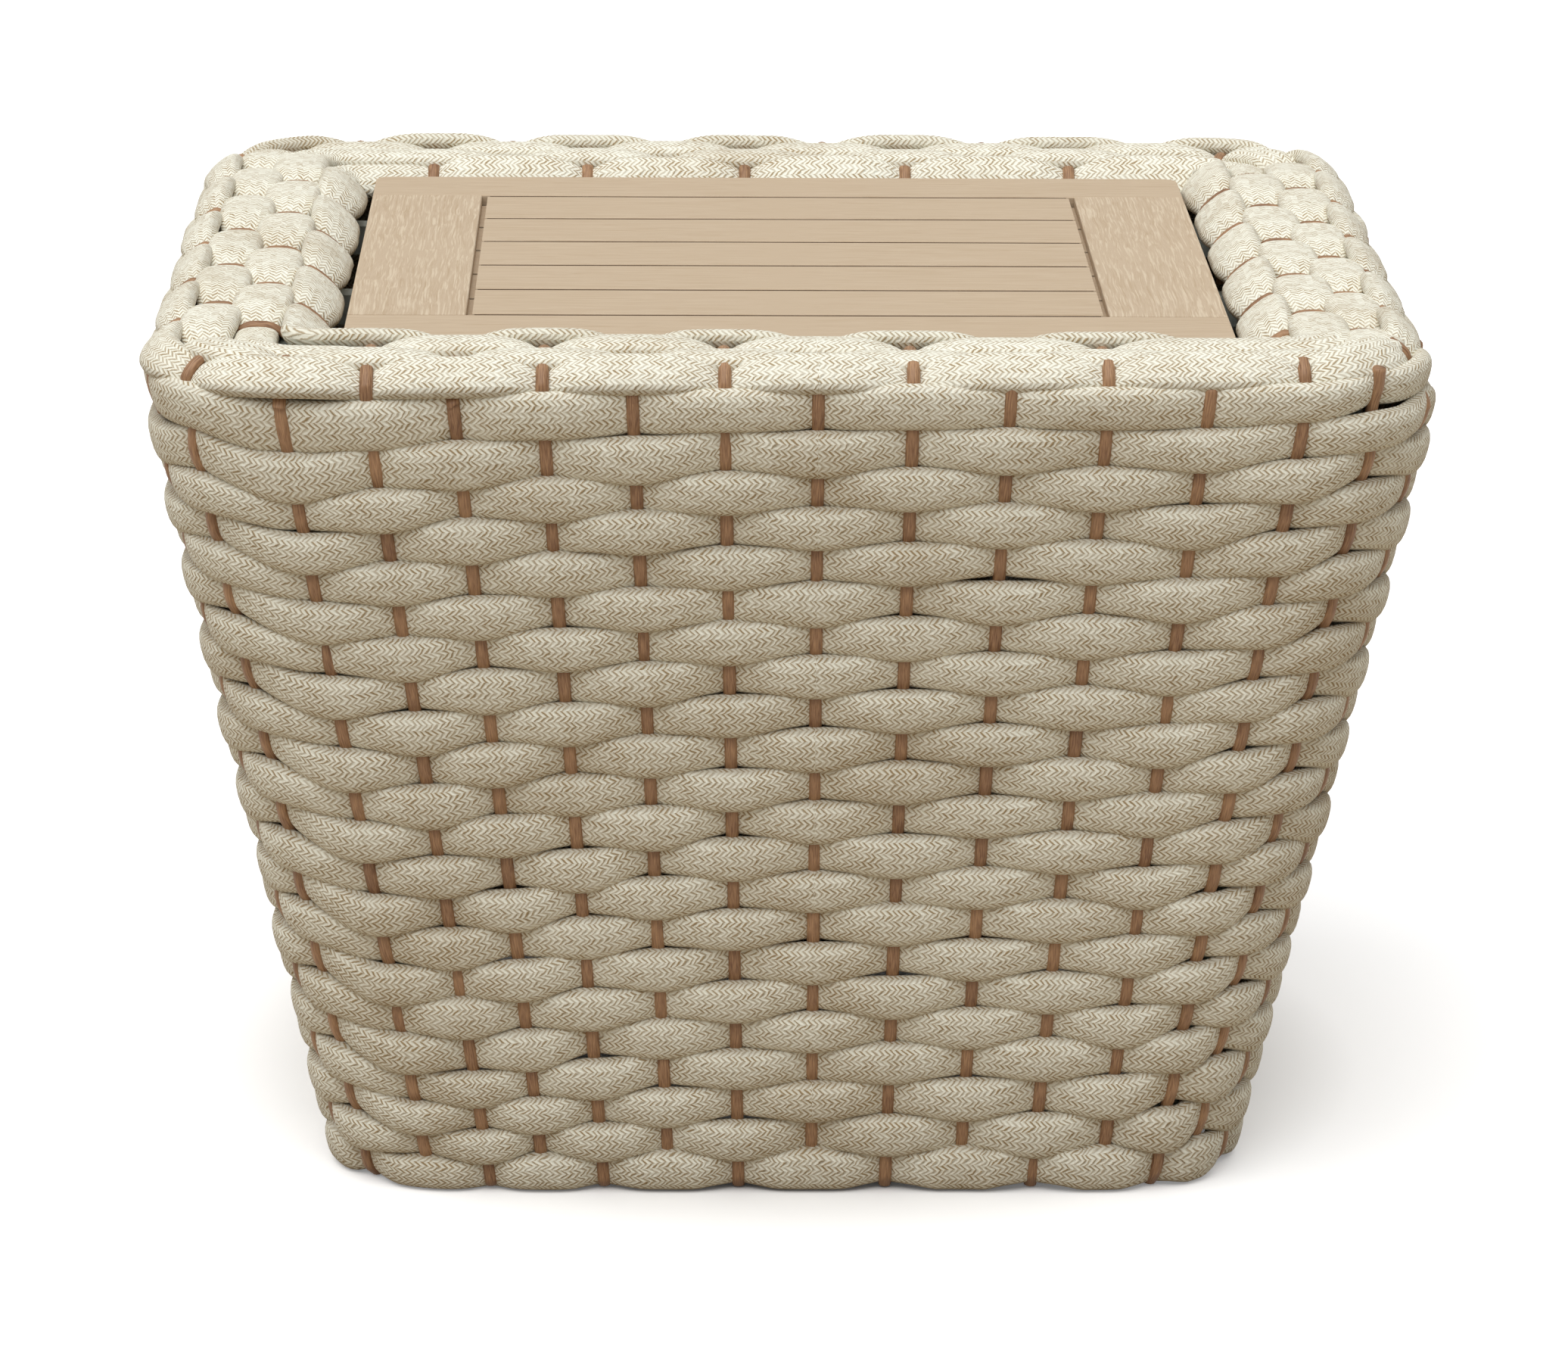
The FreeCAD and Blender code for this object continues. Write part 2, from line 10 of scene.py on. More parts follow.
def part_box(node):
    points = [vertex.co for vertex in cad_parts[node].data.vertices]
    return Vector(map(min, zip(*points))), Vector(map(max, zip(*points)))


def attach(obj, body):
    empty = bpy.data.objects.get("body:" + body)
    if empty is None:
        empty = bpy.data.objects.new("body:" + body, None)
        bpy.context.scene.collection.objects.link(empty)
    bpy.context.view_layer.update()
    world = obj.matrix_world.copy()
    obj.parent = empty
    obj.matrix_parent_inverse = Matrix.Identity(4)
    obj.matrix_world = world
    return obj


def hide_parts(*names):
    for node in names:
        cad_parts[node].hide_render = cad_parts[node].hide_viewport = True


bl_info = {
    "name": "Woven Rope Coffee Table",
    "version": (1, 0, 0),
    "blender": (4, 5, 0),
    "location": "View3D > Sidebar > Rope Table",
    "description": "Dresses the coffee table's frame with woven rope, wicker strands and a slatted top",
    "category": "Object",
}

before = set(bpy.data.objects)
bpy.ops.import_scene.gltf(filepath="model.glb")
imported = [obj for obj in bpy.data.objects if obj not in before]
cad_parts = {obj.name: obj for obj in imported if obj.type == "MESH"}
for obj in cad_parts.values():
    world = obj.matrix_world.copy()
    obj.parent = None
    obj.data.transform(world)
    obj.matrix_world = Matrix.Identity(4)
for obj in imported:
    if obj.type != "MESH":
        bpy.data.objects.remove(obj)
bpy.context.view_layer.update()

MM = 0.001
UP = np.array((0.0, 0.0, 1.0))
PHOTO_WIDTH = 2072
SIDES = ("front", "right", "back", "left")
FRONT, RIGHT, LEFT = 0, 1, 3
WALL_ROWS = sorted(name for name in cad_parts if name.startswith("rope_row_"))
RIM_ROWS = sorted(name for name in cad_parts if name.startswith("rope_rim_"))

# Distances from the table's middle over which its front or back, and its left or right, come into play
END_RUN = (0.14, 0.27)
SIDE_RUN = (0.2, 0.29)

# Rim ropes from the outermost in: half widths, and how far weaving pulled each in
RIM_HALF_WIDTHS = (10 * MM, 12.8 * MM, 13.2 * MM, 13.2 * MM)
RIM_TUCKS = (7.5 * MM, 5.5 * MM, 3 * MM, 0.0)
WALL_TUCK = 6.5 * MM


# Sizes and colours that a user would change

def quantity(value, name, text, **options):
    return FloatProperty(name=name, description=text, default=value, **options)


def length(millimetres, name, text):
    return quantity(millimetres * MM, name, text, unit="LENGTH", precision=5)


def angle(radians, name, text):
    return quantity(radians, name, text, subtype="ANGLE")


def colour(value, name, text):
    return StringProperty(name=name, description=f"{text}, as an sRGB hex value", default=value)


class BasketSizes(bpy.types.PropertyGroup):
    """The line of the upright strands, as the part's source has it."""
    half_width: length(297, "Half width", "At the top of the wall")
    half_depth: length(286, "Half depth", "At the top of the wall")
    rim_corner: length(65, "Rim corner", "Corner radius at the top of the wall")
    base_corner: length(55, "Base corner", "Corner radius at the floor")
    slope: quantity(0.202, "Slope", "How far the wall comes in on the way down")
    rim_z: length(419.5, "Rim height", "Strands where they lie across the rim")
    bend: length(8, "Bend", "Radius of a strand's bend over the rim")
    rim_width: length(66.5, "Rim width", "From the outer to the inner leg of a strand")
    rim_pitch: length(24.5, "Rim spacing", "From rope to rope on the rim")
    edge_tilt: angle(math.radians(50), "Edge tilt", "Ropes on the rim's two edges")
    strand_count: IntProperty(name="Strands", description="Upright strands round the basket", default=52)
    first_shift: length(14.7, "First strand", "To the right of the front's middle")
    gather: quantity(0.176, "Gather", "How much closer the strands stand near the corners at the floor")
    foot_z: length(1.6, "Strand foot", "Lower end of the strands")


class WeaveSizes(bpy.types.PropertyGroup):
    """How ropes and strands pass each other, measured out from the strands' line."""
    rope_thickness: length(11, "Rope thickness", "Rope across the wall")
    rope_over: length(5.6, "Over", "Middle of the rope where it lies outside a strand")
    rope_under: length(1.4, "Under", "Middle of the rope where it passes behind a strand")
    dimple: length(1.8, "Dimple", "How far a strand presses into the rope")
    dimple_run: length(6.5, "Dimple run", "Along the rope")
    row_lift: length(1.6, "Row lift", "How far the rows were pushed up while weaving")
    top_row_lift: length(1.8, "Top row lift", "How much further up the top row was pushed")
    row_sag: length(1.2, "Row sag", "How far a rope hangs down where it lies outside a strand")
    strand_out: length(4.4, "Strand out", "Strand where it shows")
    strand_in: length(0.2, "Strand in", "Strand where the rope covers it")
    strand_width: length(6.2, "Strand width", "Across a strand")
    strand_thickness: length(5.2, "Strand thickness", "Through a strand")
    rim_over: length(6.8, "Rim over", "Rope on the rim above a strand")
    rim_under: length(2.4, "Rim under", "Rope on the rim under a strand")
    edge_shift: length(3, "Edge shift", "How far the outermost rim rope lies up towards its neighbour")
    back_sag: length(5, "Back sag", "How much lower the rim lies at the back")
    turn_width: length(4.8, "Turn width", "Strand wound round the base")
    turn_thickness: length(2.4, "Turn thickness", "Strand wound round the base")
    seed: IntProperty(name="Seed", description="Seed of the hand-woven unevenness", default=7)


class Finishes(bpy.types.PropertyGroup):
    """Colours of the finishes."""
    yarn_cream: colour("FAF9EA", "Cream yarn", "Main yarn of the rope")
    yarn_tan: colour("A9926D", "Tan yarn", "Flecks of the rope")
    # Colour of the painted shade along the rope's edges, between its neighbours
    yarn_shade: colour("7D6747", "Shaded yarn", "Edges of the rope, between its neighbours")
    cane: colour("B68E69", "Strand", "Wicker strand")
    cane_dark: colour("744F33", "Strand streak", "Dark streaks of the strand")
    board: colour("C6B196", "Board", "Wood-look boards")
    board_dark: colour("B29978", "Board grain", "Dark grain of the boards")
    board_pale: colour("E2D2B8", "Board streak", "Pale streaks of the boards")
    # Colour of the painted shade in the gaps between the slats, on the boards' sides
    board_gap_shade: colour("5A4028", "Board seam", "Sawn edges between the slats")
    paint: colour("DDE6DE", "Frame", "Powder coat of the frame")


class StageSizes(bpy.types.PropertyGroup):
    """The camera as fitted to the photo, and the strength of the light."""
    focal_pixels: quantity(8757.0, "Focal length", "In pixels of the photo")
    camera_x: length(-59.9, "Camera X", "From the table's middle")
    camera_y: length(-3255.2, "Camera Y", "From the table's middle")
    camera_z: length(1101.2, "Camera Z", "Above the floor")
    pitch: angle(math.radians(15.41), "Pitch", "Looking down")
    yaw: angle(-0.019, "Yaw", "Turned")
    roll: angle(0.007, "Roll", "Rolled")
    fill: quantity(0.46, "Fill light", "Even light from all round")
    key: quantity(0.73, "Key light", "Soft light from above")


# Small tools

def linear(text):
    """Linear colour from an sRGB hex value."""
    values = [int(text[i:i + 2], 16) / 255 for i in (0, 2, 4)]
    return (*(v / 12.92 if v <= 0.04045 else ((v + 0.055) / 1.055) ** 2.4 for v in values), 1.0)


def unit(vectors):
    return vectors / np.linalg.norm(vectors, axis=-1, keepdims=True)


def smooth_step(value, low, high):
    share = np.clip((value - low) / (high - low), 0.0, 1.0)
    return share * share * (3 - 2 * share)


def add_node(tree, kind, inputs=None, **settings):
    """Add a node. Inputs, by name or number, are values, sockets, or nodes whose first output is used."""
    node = tree.nodes.new(kind)
    for key, value in settings.items():
        setattr(node, key, value)
    for key, value in (inputs or {}).items():
        if isinstance(value, bpy.types.Node):
            value = next(output for output in value.outputs if output.enabled)
        if isinstance(value, bpy.types.NodeSocket):
            tree.links.new(value, node.inputs[key])
        else:
            node.inputs[key].default_value = value
    return node


def new_material(name, roughness, **inputs):
    """Material with its Principled shader's plain values set."""
    material = bpy.data.materials.new(name)
    material.use_nodes = True
    tree = material.node_tree
    shader = tree.nodes["Principled BSDF"]
    shader.inputs["Roughness"].default_value = roughness
    for key, value in inputs.items():
        shader.inputs[key.replace("_", " ").title().replace("Ior", "IOR")].default_value = value
    return material, tree, shader


def finish_shader(tree, shader, shade, relief, depth, strength):
    """Give a shader its colour, and a relief of this depth."""
    bump = add_node(tree, "ShaderNodeBump", {"Height": relief, "Distance": depth, "Strength": strength})
    tree.links.new(shade, shader.inputs["Base Color"])
    tree.links.new(bump.outputs[0], shader.inputs["Normal"])


def keep_piece(mesh, slot, *nodes):
    """Link a finished mesh as a piece of the basket that stands for CAD nodes."""
    piece = bpy.data.objects.new(mesh.name, mesh)
    bpy.context.scene.collection.objects.link(piece)
    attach(piece, "basket")
    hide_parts(*nodes)


def dress(material, *names):
    """Give CAD nodes a finish."""
    for name in names:
        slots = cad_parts[name].data.materials
        slots.clear()
        slots.append(material)


# Rounded rectangle, measured along its outline from the middle of the front to the right

class Outline:
    def __init__(self, half_x, half_y, radius):
        self.half = (half_x, half_y)
        self.radius = radius
        self.flat = (half_x - radius, half_y - radius)
        self.reach = tuple(flat + math.pi * radius / 4 for flat in self.flat)
        self.quarter = sum(self.reach)
        self.length = 4 * self.quarter

    def on_side(self, side, distance):
        """Point and heading at a distance along one side from its middle."""
        flat, out = self.flat[side % 2], self.half[1 - side % 2]
        bent = math.copysign(max(abs(distance) - flat, 0.0) / self.radius, distance)
        x = math.copysign(min(abs(distance), flat), distance) + self.radius * math.sin(bent)
        y = self.radius * (1 - math.cos(bent)) - out
        turn = side * math.pi / 2
        c, s = math.cos(turn), math.sin(turn)
        return np.array((x * c - y * s, x * s + y * c, 0.0)), bent + turn

    def locate(self, distance):
        """Side, and distance from that side's middle."""
        distance %= self.length
        side = 0
        while distance > side * self.quarter + self.reach[side % 2]:
            side += 1
        return side % 4, distance - side * self.quarter

    def at(self, distance):
        return self.on_side(*self.locate(distance))


def along(heading):
    return np.array((math.cos(heading), math.sin(heading), 0.0))


def outward(heading):
    return np.array((math.sin(heading), -math.cos(heading), 0.0))


def pulled_in(point):
    """How much weaving pulled the basket's top edge in at a place, from 0 to 1: most on the right."""
    right, left = smooth_step(point[0], *SIDE_RUN), smooth_step(-point[0], *SIDE_RUN)
    return right * (1 - 0.35 * smooth_step(point[1], 0.0, 0.25)) + 0.55 * left


class RimRow:
    """The strands' line under one rope of the rim, and the way out of the rim's surface there."""

    def __init__(self, weave, number):
        sizes = weave.sizes
        self.number = number
        self.edge = number in (1, 4)
        self.facing = 1 if number == 1 else -1
        self.tilt = sizes.edge_tilt if self.edge else math.pi / 2
        rope_out, inner_shift, least_corner = 9 * MM, 2.4 * MM, 17 * MM
        edge_out = (sizes.bend + rope_out) * math.cos(sizes.edge_tilt)
        bend_insets = {1: weave.bend_inset, 4: sizes.rim_width - sizes.bend}
        self.inset = {**bend_insets, 2: bend_insets[1] - edge_out + sizes.rim_pitch,
                      3: bend_insets[4] + edge_out - sizes.rim_pitch}[number]
        self.lift = sizes.bend if self.edge else 0.0
        self.shift = {1: weave.pulls.edge_shift, 4: inner_shift}.get(number, 0.0)
        self.half_width = RIM_HALF_WIDTHS[number - 1]
        self.most_tuck = RIM_TUCKS[number - 1]
        self.back_sag = weave.pulls.back_sag
        # Along the front the outer rope climbs to the right, 3 mm on each half
        self.front_climb = 3 * MM / 0.25 if number == 1 else 0.0
        self.base_z = weave.bend_z if self.edge else sizes.rim_z
        self.line = Outline(sizes.half_width - self.inset, sizes.half_depth - self.inset,
                            max(sizes.rim_corner - self.inset, least_corner))

    def normal(self, heading):
        return outward(heading) * (self.facing * math.cos(self.tilt)) + UP * math.sin(self.tilt)

    def across(self, heading):
        """The way that a strand runs over the rim here, from outside to inside."""
        return -outward(heading) * math.sin(self.tilt) + UP * (self.facing * math.cos(self.tilt))

    def raised(self, point, heading, height=0.0, step=0.0):
        """A place over a point of the row's line: this high above the strands, this far across the rim."""
        x, y = point[:2]
        sag = self.back_sag * smooth_step(y, *END_RUN)
        shift = self.shift + self.front_climb * x * smooth_step(-y, *END_RUN)
        tuck = self.most_tuck * pulled_in(point)
        return (np.array((x, y, self.base_z - sag)) + self.normal(heading) * (self.lift + height)
                + self.across(heading) * (shift + step) - outward(heading) * tuck)

    def surface(self, distance):
        point, heading = self.line.at(distance)
        return self.raised(point, heading), heading

    def meets(self, strand):
        """Corner strands stop before the two inner ropes."""
        return not (strand["corner"] and self.number > 2)


class Weave:
    """Rows at the heights of the CAD ropes, and strands spaced evenly round the rim."""

    def __init__(self):
        self.sizes = sizes = bpy.context.scene.basket_sizes
        self.pulls = bpy.context.scene.weave_sizes
        self.row_z = [sum(corner.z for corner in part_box(name)) / 2 for name in WALL_ROWS]
        self.pitch = (self.row_z[0] - self.row_z[-1]) / (len(WALL_ROWS) - 1)
        self.row_z = [z + self.pulls.row_lift for z in self.row_z]
        self.row_z[0] += self.pulls.top_row_lift
        lean = math.atan(sizes.slope)
        self.bend_z = sizes.rim_z - sizes.bend
        self.bend_inset = sizes.bend * math.cos(lean)
        self.top_z = self.bend_z - sizes.bend * math.sin(lean)
        drop = sizes.slope * self.top_z
        self.top = Outline(sizes.half_width, sizes.half_depth, sizes.rim_corner)
        self.floor = Outline(sizes.half_width - drop, sizes.half_depth - drop, sizes.base_corner)
        self.rim = [RimRow(self, number) for number in range(1, len(RIM_ROWS) + 1)]
        spacing = self.top.length / sizes.strand_count
        self.strands = [self.strand(i, i * spacing + sizes.first_shift) for i in range(sizes.strand_count)]

    def strand(self, index, distance):
        """One upright: its place at the top of the wall and at the floor."""
        side, local = self.top.locate(distance)
        share = local / self.top.reach[side % 2]
        gathered = share * (1 + self.sizes.gather * (1 - share * share)) * self.floor.reach[side % 2]
        gathered += self.drift(side, gathered / self.floor.reach[side % 2], 0.0)[0]
        local += self.drift(side, share, self.top_z)[0]
        top, top_heading = self.top.on_side(side, local)
        foot, foot_heading = self.floor.on_side(side, gathered)
        top[2] = self.top_z
        past_rim = self.sizes.rim_width + 7 * MM
        return {"index": index, "side": side, "top": top, "foot": foot, "climb": unit(top - foot),
                "local": local, "headings": (top_heading, foot_heading),
                "tuck": WALL_TUCK * pulled_in(top),
                "corner": all(abs(top[i]) > self.top.half[i] - past_rim for i in (0, 1))}

    def drift(self, side, share, height):
        """How far sideways and up hand-weaving pulled a crossing, a share of the way along its side.
        The front climbs to the right, as the photo shows, and the other sides are pulled less."""
        strength = (1.0, 0.5, -0.6, 0.4)[side] * MM
        fades = [1 - smooth_step(abs(share), start, 1.0) for start in (0.82 if share < 0 else 0.72, 0.72)]
        # Quadratics in millimetres that follow the front in the photo
        x, z = share * 1.4, height / 0.2 - 1.05
        return ((-1.5 + 8.5 * x * x - 2 * z + 2 * x * z) * strength * fades[0],
                (1.2 + 7.2 * x - 4.2 * x * x - 2 * x * z) * strength * fades[1])

    def corner_lift(self, side, share, height):
        """How far the rows ride up at the front right corner, and sag at the front left one."""
        front_rise, right_rise = 13 * MM, 14 * MM
        sag = (2 + 6 * smooth_step(height, 0.3, 0.4)) * MM
        if side == FRONT:
            return front_rise * smooth_step(share, 0.72, 0.96) - sag * smooth_step(-share, 0.7, 0.87)
        if side == RIGHT:
            return right_rise * (1 - smooth_step(share, -0.95, -0.25))
        return -0.7 * sag * smooth_step(share, 0.3, 0.9) if side == LEFT else 0.0

    def on_wall(self, strand, height):
        """Point and heading of a strand at a height on the wall."""
        share = 1 - height / self.top_z
        first, last = strand["headings"]
        heading = first + (last - first) * share
        # The top row is pulled in with the rim
        top_row = smooth_step(height, 0.395, 0.418)
        point = strand["top"] + (strand["foot"] - strand["top"]) * share
        return point - outward(heading) * (strand["tuck"] * top_row), heading

    def height(self, strand, row):
        """Height of a row at a strand; the rows next to the rim and the floor are pulled less."""
        last = len(self.row_z)
        plain = self.row_z[0] + self.pitch if row == 0 else self.row_z[min(row, last) - 1]
        share = strand["local"] / self.top.reach[strand["side"] % 2]
        near_rim, near_floor = 0.3 * row, 0.2 + 0.27 * (last - row)
        up = self.drift(strand["side"], share, plain)[1] * min(1.0, 0.45 + near_rim, near_floor)
        up += self.corner_lift(strand["side"], share, plain) * min(1.0, 0.3 + near_rim, near_floor)
        return plain + up - self.pitch * (row > last)

    def room(self, strand, row):
        """Half the height that a row has to fill at a strand; near the corners it is pressed tighter."""
        tight = 0.04 * smooth_step(abs(strand["local"]) / self.top.reach[strand["side"] % 2], 0.7, 0.95)
        return (self.height(strand, row - 1) - self.height(strand, row + 1)) / 4 * (1 - tight)

    def crossing(self, strand, row):
        """Point and heading where a strand meets a row of the wall."""
        return self.on_wall(strand, self.height(strand, row))

    def over(self, strand, row):
        """Whether the rope of a row lies outside the strand; rim ropes are rows 0, -1, -2 and -3."""
        return (strand["index"] + row) % 2 == 0

    def crossings(self, rim):
        """Where a rim rope meets strands: distance along it, and whether it lies over."""
        found = []
        for strand in self.strands:
            if rim.meets(strand):
                side = strand["side"]
                bent = strand["headings"][0] - side * math.pi / 2
                local = strand["local"]
                if abs(bent) > 1e-9:
                    local = math.copysign(rim.line.flat[side % 2], bent) + rim.line.radius * bent
                limit = rim.line.flat[side % 2] + rim.line.radius * abs(bent)
                local = min(max(local, -limit), limit)
                distance = (side * rim.line.quarter + local) % rim.line.length
                found.append((distance, self.over(strand, 1 - rim.number)))
        return sorted(found)


# Braided rope

AROUND = 20
SQUARENESS = 2.5
FLATNESS = 0.45
WALL_STEPS, RIM_STEPS = 12, 16
WALL_UNEVEN, RIM_UNEVEN, SIDEWAYS_UNEVEN = 0.5 * MM, 0.4 * MM, 0.6 * MM
WIDTH_UNEVEN = 0.025
PRESSED_THIN = 0.22
# How steeply a rope comes out from behind a strand
WALL_RISE, RIM_RISE = 1.5, 2.8


def sweep(name, centres, across, thick, wide, material):
    """Closed band with a flattened oval section; across is the way its width lies at each centre."""
    angle = np.linspace(0, 2 * math.pi, AROUND + 1)
    swollen = [np.sign(v) * np.abs(v) ** (2 / SQUARENESS) for v in (-np.cos(angle), np.sin(angle))]
    section = np.stack(swollen, 1)
    girth = np.r_[0, np.cumsum(np.linalg.norm(np.diff(section * (FLATNESS, 1.0), axis=0), axis=1))]
    girth /= girth[-1]
    section = section[:-1]
    rings = len(centres)
    travel = unit(np.roll(centres, -1, 0) - np.roll(centres, 1, 0))
    width_way = unit(across - travel * np.sum(across * travel, 1, keepdims=True))
    thick_way = np.cross(travel, width_way)
    points = (centres[:, None] + thick_way[:, None] * (section[None, :, :1] * thick[:, None, None])
              + width_way[:, None] * (section[None, :, 1:] * wide[:, None, None]))
    run = np.r_[0, np.cumsum(np.linalg.norm(np.roll(centres, -1, 0) - centres, axis=1))]
    i, j = np.meshgrid(np.arange(rings), np.arange(AROUND), indexing="ij")
    after, beside = (i + 1) % rings * AROUND, (j + 1) % AROUND
    quads = np.stack((i * AROUND + j, after + j, after + beside, i * AROUND + beside), -1)
    mesh = bpy.data.meshes.new(name)
    mesh.from_pydata(points.reshape(-1, 3).tolist(), [], quads.reshape(-1, 4).tolist())
    u = np.stack((run[i], run[i + 1], run[i + 1], run[i]), -1)
    v = np.stack((girth[j], girth[j], girth[j + 1], girth[j + 1]), -1)
    layer = mesh.uv_layers.new(name="braid")
    layer.data.foreach_set("uv", np.stack((u, v), -1).astype(np.float32).ravel())
    mesh.materials.append(material)
    mesh.shade_smooth()
    mesh.update()
    return mesh


def ease(values, share):
    """Smooth passage from each value to the next, round a closed list."""
    blend = (1 - np.cos(math.pi * share)) / 2
    blend = blend.reshape((1, -1) + (1,) * (values.ndim - 1))
    return values[:, None] * (1 - blend) + np.roll(values, -1, 0)[:, None] * blend


def pressed(over, gaps, share):
    """How hard a strand presses on the rope, from 0 to 1, along each span."""
    run = bpy.context.scene.weave_sizes.dimple_run
    before = share[None] * gaps[:, None]
    after = (1 - share[None]) * gaps[:, None]
    covered = 1.0 - over
    return (covered[:, None] * np.exp(-(before / run) ** 2)
            + np.roll(covered, -1)[:, None] * np.exp(-(after / run) ** 2))


def wall_rope(weave, row, material):
    """One rope of the wall, outside a strand and behind the next."""
    sizes = weave.pulls
    random = np.random.RandomState(sizes.seed * 100 + row)
    count = len(weave.strands)
    spots = [weave.crossing(strand, row) for strand in weave.strands]
    points = np.array([point for point, _ in spots])
    ways = np.array([along(heading) for _, heading in spots])
    climbs = np.array([strand["climb"] for strand in weave.strands])
    over = np.array([weave.over(strand, row) for strand in weave.strands], float)
    share = np.arange(WALL_STEPS) / WALL_STEPS
    s = share[None, :, None]
    after, ways_after = np.roll(points, -1, 0), np.roll(ways, -1, 0)
    gaps = np.linalg.norm(after - points, axis=1)
    chord = gaps[:, None, None]
    # Hermite spans from strand to strand
    base = ((2 * s**3 - 3 * s**2 + 1) * points[:, None] + (s**3 - 2 * s**2 + s) * ways[:, None] * chord
            + (3 * s**2 - 2 * s**3) * after[:, None] + (s**3 - s**2) * ways_after[:, None] * chord)
    climb = unit(ease(climbs, share))
    normal = unit(np.cross(unit(ways[:, None] * (1 - s) + ways_after[:, None] * s), climb))
    press = pressed(over, gaps, share)
    phase = ease(over, share)
    full = 1 - (1 - phase) ** WALL_RISE
    tight = 0.6 if row == 1 else 1.0
    swing = sizes.rope_under + (sizes.rope_over - sizes.rope_under) * tight * full - sizes.dimple * press
    swing += ease(WALL_UNEVEN * random.standard_normal(count), share)
    sway = ease(SIDEWAYS_UNEVEN * random.standard_normal(count), share)
    # Widths are shares of the room: the top row is an even band, and the others narrow between strands
    even, fullest, waist = 1.14, 1.23, 0.5
    if row == 1:
        wide = np.full_like(phase, even)
    else:
        wide = fullest - waist * phase * (1 - phase)
        sway -= sizes.row_sag * (2 * phase - 1)
    room = np.array([weave.room(strand, row) for strand in weave.strands])
    wide = wide * ease(room * (1 + WIDTH_UNEVEN * random.standard_normal(count)), share)
    centres = base + normal * swing[..., None] + climb * sway[..., None]
    floor_gap = 1.0 * MM
    centres[..., 2] = np.maximum(centres[..., 2], wide * climb[..., 2] + floor_gap)
    thick = sizes.rope_thickness / 2 * (1 - PRESSED_THIN * press)
    return sweep(f"{WALL_ROWS[row - 1]}_braid", centres.reshape(-1, 3), climb.reshape(-1, 3),
                 thick.ravel(), wide.ravel(), material)


def rim_rope(weave, rim, material):
    """One rope of the rim, woven up and down over the strands that cross it."""
    sizes = weave.pulls
    random = np.random.RandomState(sizes.seed * 1000 + rim.number)
    crossings = weave.crossings(rim)
    places = np.array([place for place, _ in crossings])
    over = np.array([lies_over for _, lies_over in crossings], float)
    gaps = (np.roll(places, -1) - places) % rim.line.length
    share = np.arange(RIM_STEPS) / RIM_STEPS
    distance = places[:, None] + gaps[:, None] * share[None]
    surface = [rim.surface(d) for d in distance.ravel()]
    base = np.array([point for point, _ in surface])
    normal = np.array([rim.normal(heading) for _, heading in surface])
    across = np.array([rim.across(heading) for _, heading in surface])
    press = pressed(over, gaps, share).ravel()
    phase = ease(over, share).ravel()
    full = 1 - (1 - phase) ** RIM_RISE
    lift = sizes.rim_under + (sizes.rim_over - sizes.rim_under) * full - sizes.dimple * press
    lift += ease(RIM_UNEVEN * random.standard_normal(len(over)), share).ravel()
    sway = ease(SIDEWAYS_UNEVEN * random.standard_normal(len(over)), share).ravel()
    # A rope bulges where it lies outside a strand, and at the front the second one bulges over the first
    neck, swell, squeeze = 0.8, 0.3, 0.08
    bulge = swell * full
    wide = rim.half_width * (neck + bulge - squeeze * press)
    if rim.number == 2:
        sway -= rim.half_width * bulge * smooth_step(-base[:, 1], *END_RUN)
    thick = sizes.rope_thickness / 2 * (1 - PRESSED_THIN * press)
    centres = base + normal * lift[:, None] + across * sway[:, None]
    return sweep(f"{RIM_ROWS[rim.number - 1]}_braid", centres, across, thick, wide, material)


